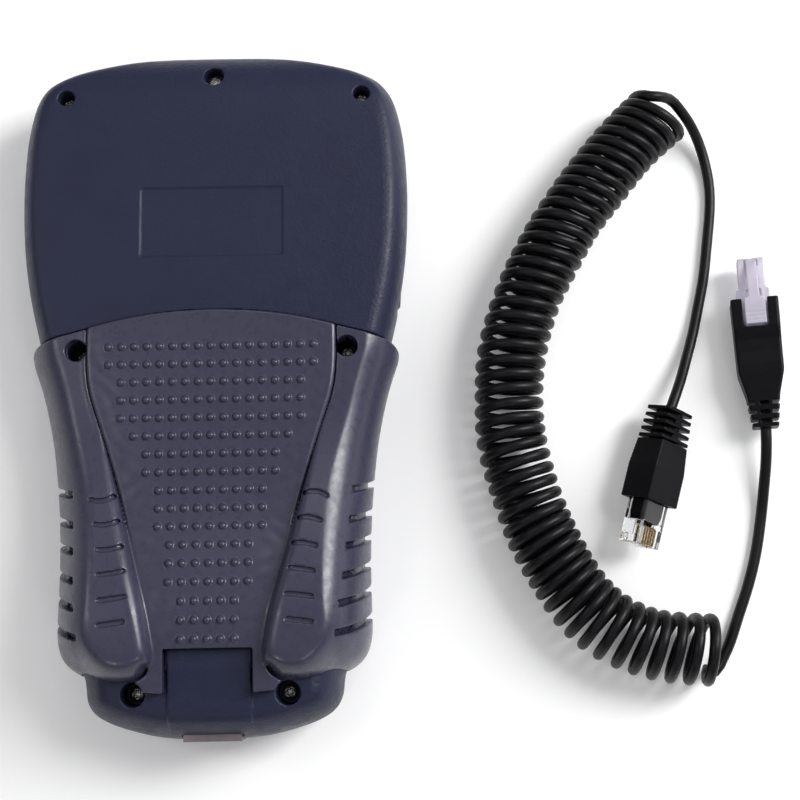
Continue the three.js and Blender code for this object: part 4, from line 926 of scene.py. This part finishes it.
def combs(L3, pins):
    """contact blades in their slots"""
    vs, qs, n0 = [], [], 0
    prof = [(L3 - 0.5, -PH + 0.55), (L3 - 0.5, -PH + 2.2), (L3 - 5.5, -PH + 2.2), (L3 - 5.5, -PH + 1.0), (L3 - 4.6, -PH + 0.45), (L3 - 1.2, -PH + 0.35)]
    for i in range(pins):
        x = (i - (pins - 1) / 2) * 1.02
        k = len(prof)
        v = [(x + s * 0.17, y, z) for s in (-1, 1) for y, z in prof]
        vs += v
        for j in range(k):
            qs.append((n0 + j, n0 + (j + 1) % k, n0 + k + (j + 1) % k, n0 + k + j))
        # caps as quads
        for o, rev in ((n0, True), (n0 + k, False)):
            for a in ((0, 1, 2, 3), (0, 3, 4, 5)):
                f = tuple(o + t for t in a)
                qs.append(f[::-1] if rev else f)
        n0 += 2 * k
    return np.array(vs, float), np.array(qs, np.int32)


def fix_facing(ob):
    bm = bmesh.new(); bm.from_mesh(ob.data)
    bmesh.ops.recalc_face_normals(bm, faces=bm.faces)
    bm.to_mesh(ob.data); bm.free()


# plug A: slide-on boot with finned strain relief, clear body
L2, L3 = 26.5, 38.9
lo = (-7.4, -1.6, -6.2); hi = (7.4, 34.2, 6.2)
X, Y, Z = grid(lo, hi, gp)
hw = np.interp(Y, [9.3, 17.0, 26.5], [5.55, 6.35, 6.35]).astype(np.float32); hh = np.interp(Y, [9.3, 17.0, 26.5], [4.75, 5.2, 5.2]).astype(np.float32)
f = smax(sized_rect(X, Z, hw, hh, 0.55), np.abs(Y - 17.9) - 8.6, 0.35)
# round core along the axis, running through the finned strain relief
core = np.maximum(np.hypot(X, Z) - 3.0, np.abs(Y - 5) - 5.6)
f = np.minimum(f, core)
for i in range(5):
    y0 = -0.1 + 2.08 * i
    fw = 5.35 + 0.16 * i
    fin = np.maximum(sized_rect(X, Z, fw, 4.3 + 0.08 * i, 1.0), np.abs(Y - y0 - 0.15 * np.abs(X) / 5) - 0.48)
    f = smin(f, fin, 0.25)
    # webs between neighbours, turned a quarter each time
    web = np.maximum(np.maximum((np.abs(X) if i % 2 else np.abs(Z)) - 1.3, (np.abs(Z) if i % 2 else np.abs(X)) - 4.2), np.abs(Y - y0 - 1.0) - 1.0)
    f = smin(f, web, 0.15)
f = np.maximum(f, 1.62 - np.hypot(X, Z) - 8 * (Y > 7))
f = np.maximum(f, -np.maximum(sized_rect(X, Z, 5.1, PH + 0.3, 0.3), 17.9 - Y))
f = smax(f, -np.maximum(np.abs(X) - 3.1, np.maximum(18.1 - Y, PH - 0.5 - Z)), 0.15)
v, q = skin(f, lo, gp)
boot_a = mesh_object("plug_a_sleeve", placed(v, PLUG_A), q, "handset", "plug_a_boot")
paint(boot_a, BOOT_BLACK)
# jacket end inside the clear body
lo = (-4.6, 17.0, -3.2); hi = (4.6, 34.0, 3.2)
X, Y, Z = grid(lo, hi, gp)
f = smax(sized_rect(X, Z, 3.95 - 0.5 * ramp((Y - 30) / 2), PH - 0.72, 0.9), np.abs(Y - 25.2) - 7.2, 0.3)
for i in range(6):
    x = (i - 2.5) * 1.02
    f = smin(f, np.maximum(np.hypot(X - x * 0.95, Z + 0.5) - 0.36, np.abs(Y - 32) - 1.6), 0.1)
v, q = skin(f, lo, gp)
wire_a = mesh_object("plug_a_jacket_end", placed(v, PLUG_A), q, "handset")
paint(wire_a, BOOT_BLACK)
v, q = plug_body(9.65, L2, L3, 6, 0, False, L2 + 6.0)
body_a = mesh_object("plug_a_shell", placed(v, PLUG_A), q, "handset", "plug_a_body")
paint(body_a, CLEAR)
v, q = latch(L2, L3, 5.2, 1.9)
latch_a = mesh_object("plug_a_tongue", placed(v, PLUG_A), q, "plug_a_latch", "plug_a_latch")
paint(latch_a, CLEAR)
v, q = combs(L3, 6)
comb_a = mesh_object("plug_a_blades", placed(v, PLUG_A), q, "handset", "plug_a_contacts", smooth=False)
fix_facing(comb_a); paint(comb_a, GOLD)

# plug B: moulded boot with a saddle, notched strain relief, frosted body
L2, L3 = 37.0, 49.2
lo = (-7.6, -0.8, -6.2); hi = (7.6, 37.8, 6.6)
X, Y, Z = grid(lo, hi, gp)
hw = np.interp(Y, [0, 8.0, 9.0, 15.3, 16.5, 37.0], [3.6, 4.55, 4.65, 6.25, 6.4, 6.7]).astype(np.float32)
top = np.interp(Y, [0, 8.0, 15.3, 18.0, 21.5, 25.0, 28.5, 37.0], [3.4, 4.2, 5.0, 5.1, 4.55, 4.5, 5.35, 5.45]).astype(np.float32)
bot = np.interp(Y, [0, 8.0, 15.5, 37.0], [3.4, 4.2, 5.2, 5.2]).astype(np.float32)
mid, hh = (top - bot) / 2, (top + bot) / 2
f = smax(sized_rect(X, Z - mid, hw, hh, 0.9), np.abs(Y - 18.5) - 18.5, 0.4)
for i in range(3):
    y0 = 1.7 + 2.55 * i
    f = smax(f, -np.maximum(np.abs(Y - y0) - 0.52, 1.9 + 0.25 * i - np.abs(X)), 0.15)
    f = smax(f, -np.maximum(np.abs(Y - y0) - 0.52, np.maximum(2.2 - np.abs(Z), np.abs(X) - 1.2)), 0.15)
f = np.maximum(f, 1.62 - np.hypot(X, Z) - 8 * (Y > 7))
f = np.maximum(f, -np.maximum(sized_rect(X, Z, 5.0, PH + 0.3, 0.3), 28.4 - Y))
u_cut = round_rect(X, Y, 0, 39.0, 7.1, 20.4, 1.0)
f = smax(f, -np.maximum(u_cut + 0 * Z, PH - 0.5 - Z), 0.2)
v, q = skin(f, lo, gp)
boot_b = mesh_object("plug_b_sleeve", placed(v, PLUG_B), q, "handset", "plug_b_boot")
paint(boot_b, BOOT_BLACK)
v, q = plug_body(9.4, L2, L3, 4, 0.95, True, L2 - 2.0)
body_b = mesh_object("plug_b_shell", placed(v, PLUG_B), q, "handset", "plug_b_body")
paint(body_b, FROST)
v, q = latch(L2, L3, 5.2, 2.9)
latch_b = mesh_object("plug_b_tongue", placed(v, PLUG_B), q, "plug_b_latch", "plug_b_latch")
paint(latch_b, FROST)
v, q = combs(L3, 4)
comb_b = mesh_object("plug_b_blades", placed(v, PLUG_B), q, "handset", "plug_b_contacts", smooth=False)
fix_facing(comb_b); paint(comb_b, GOLD)
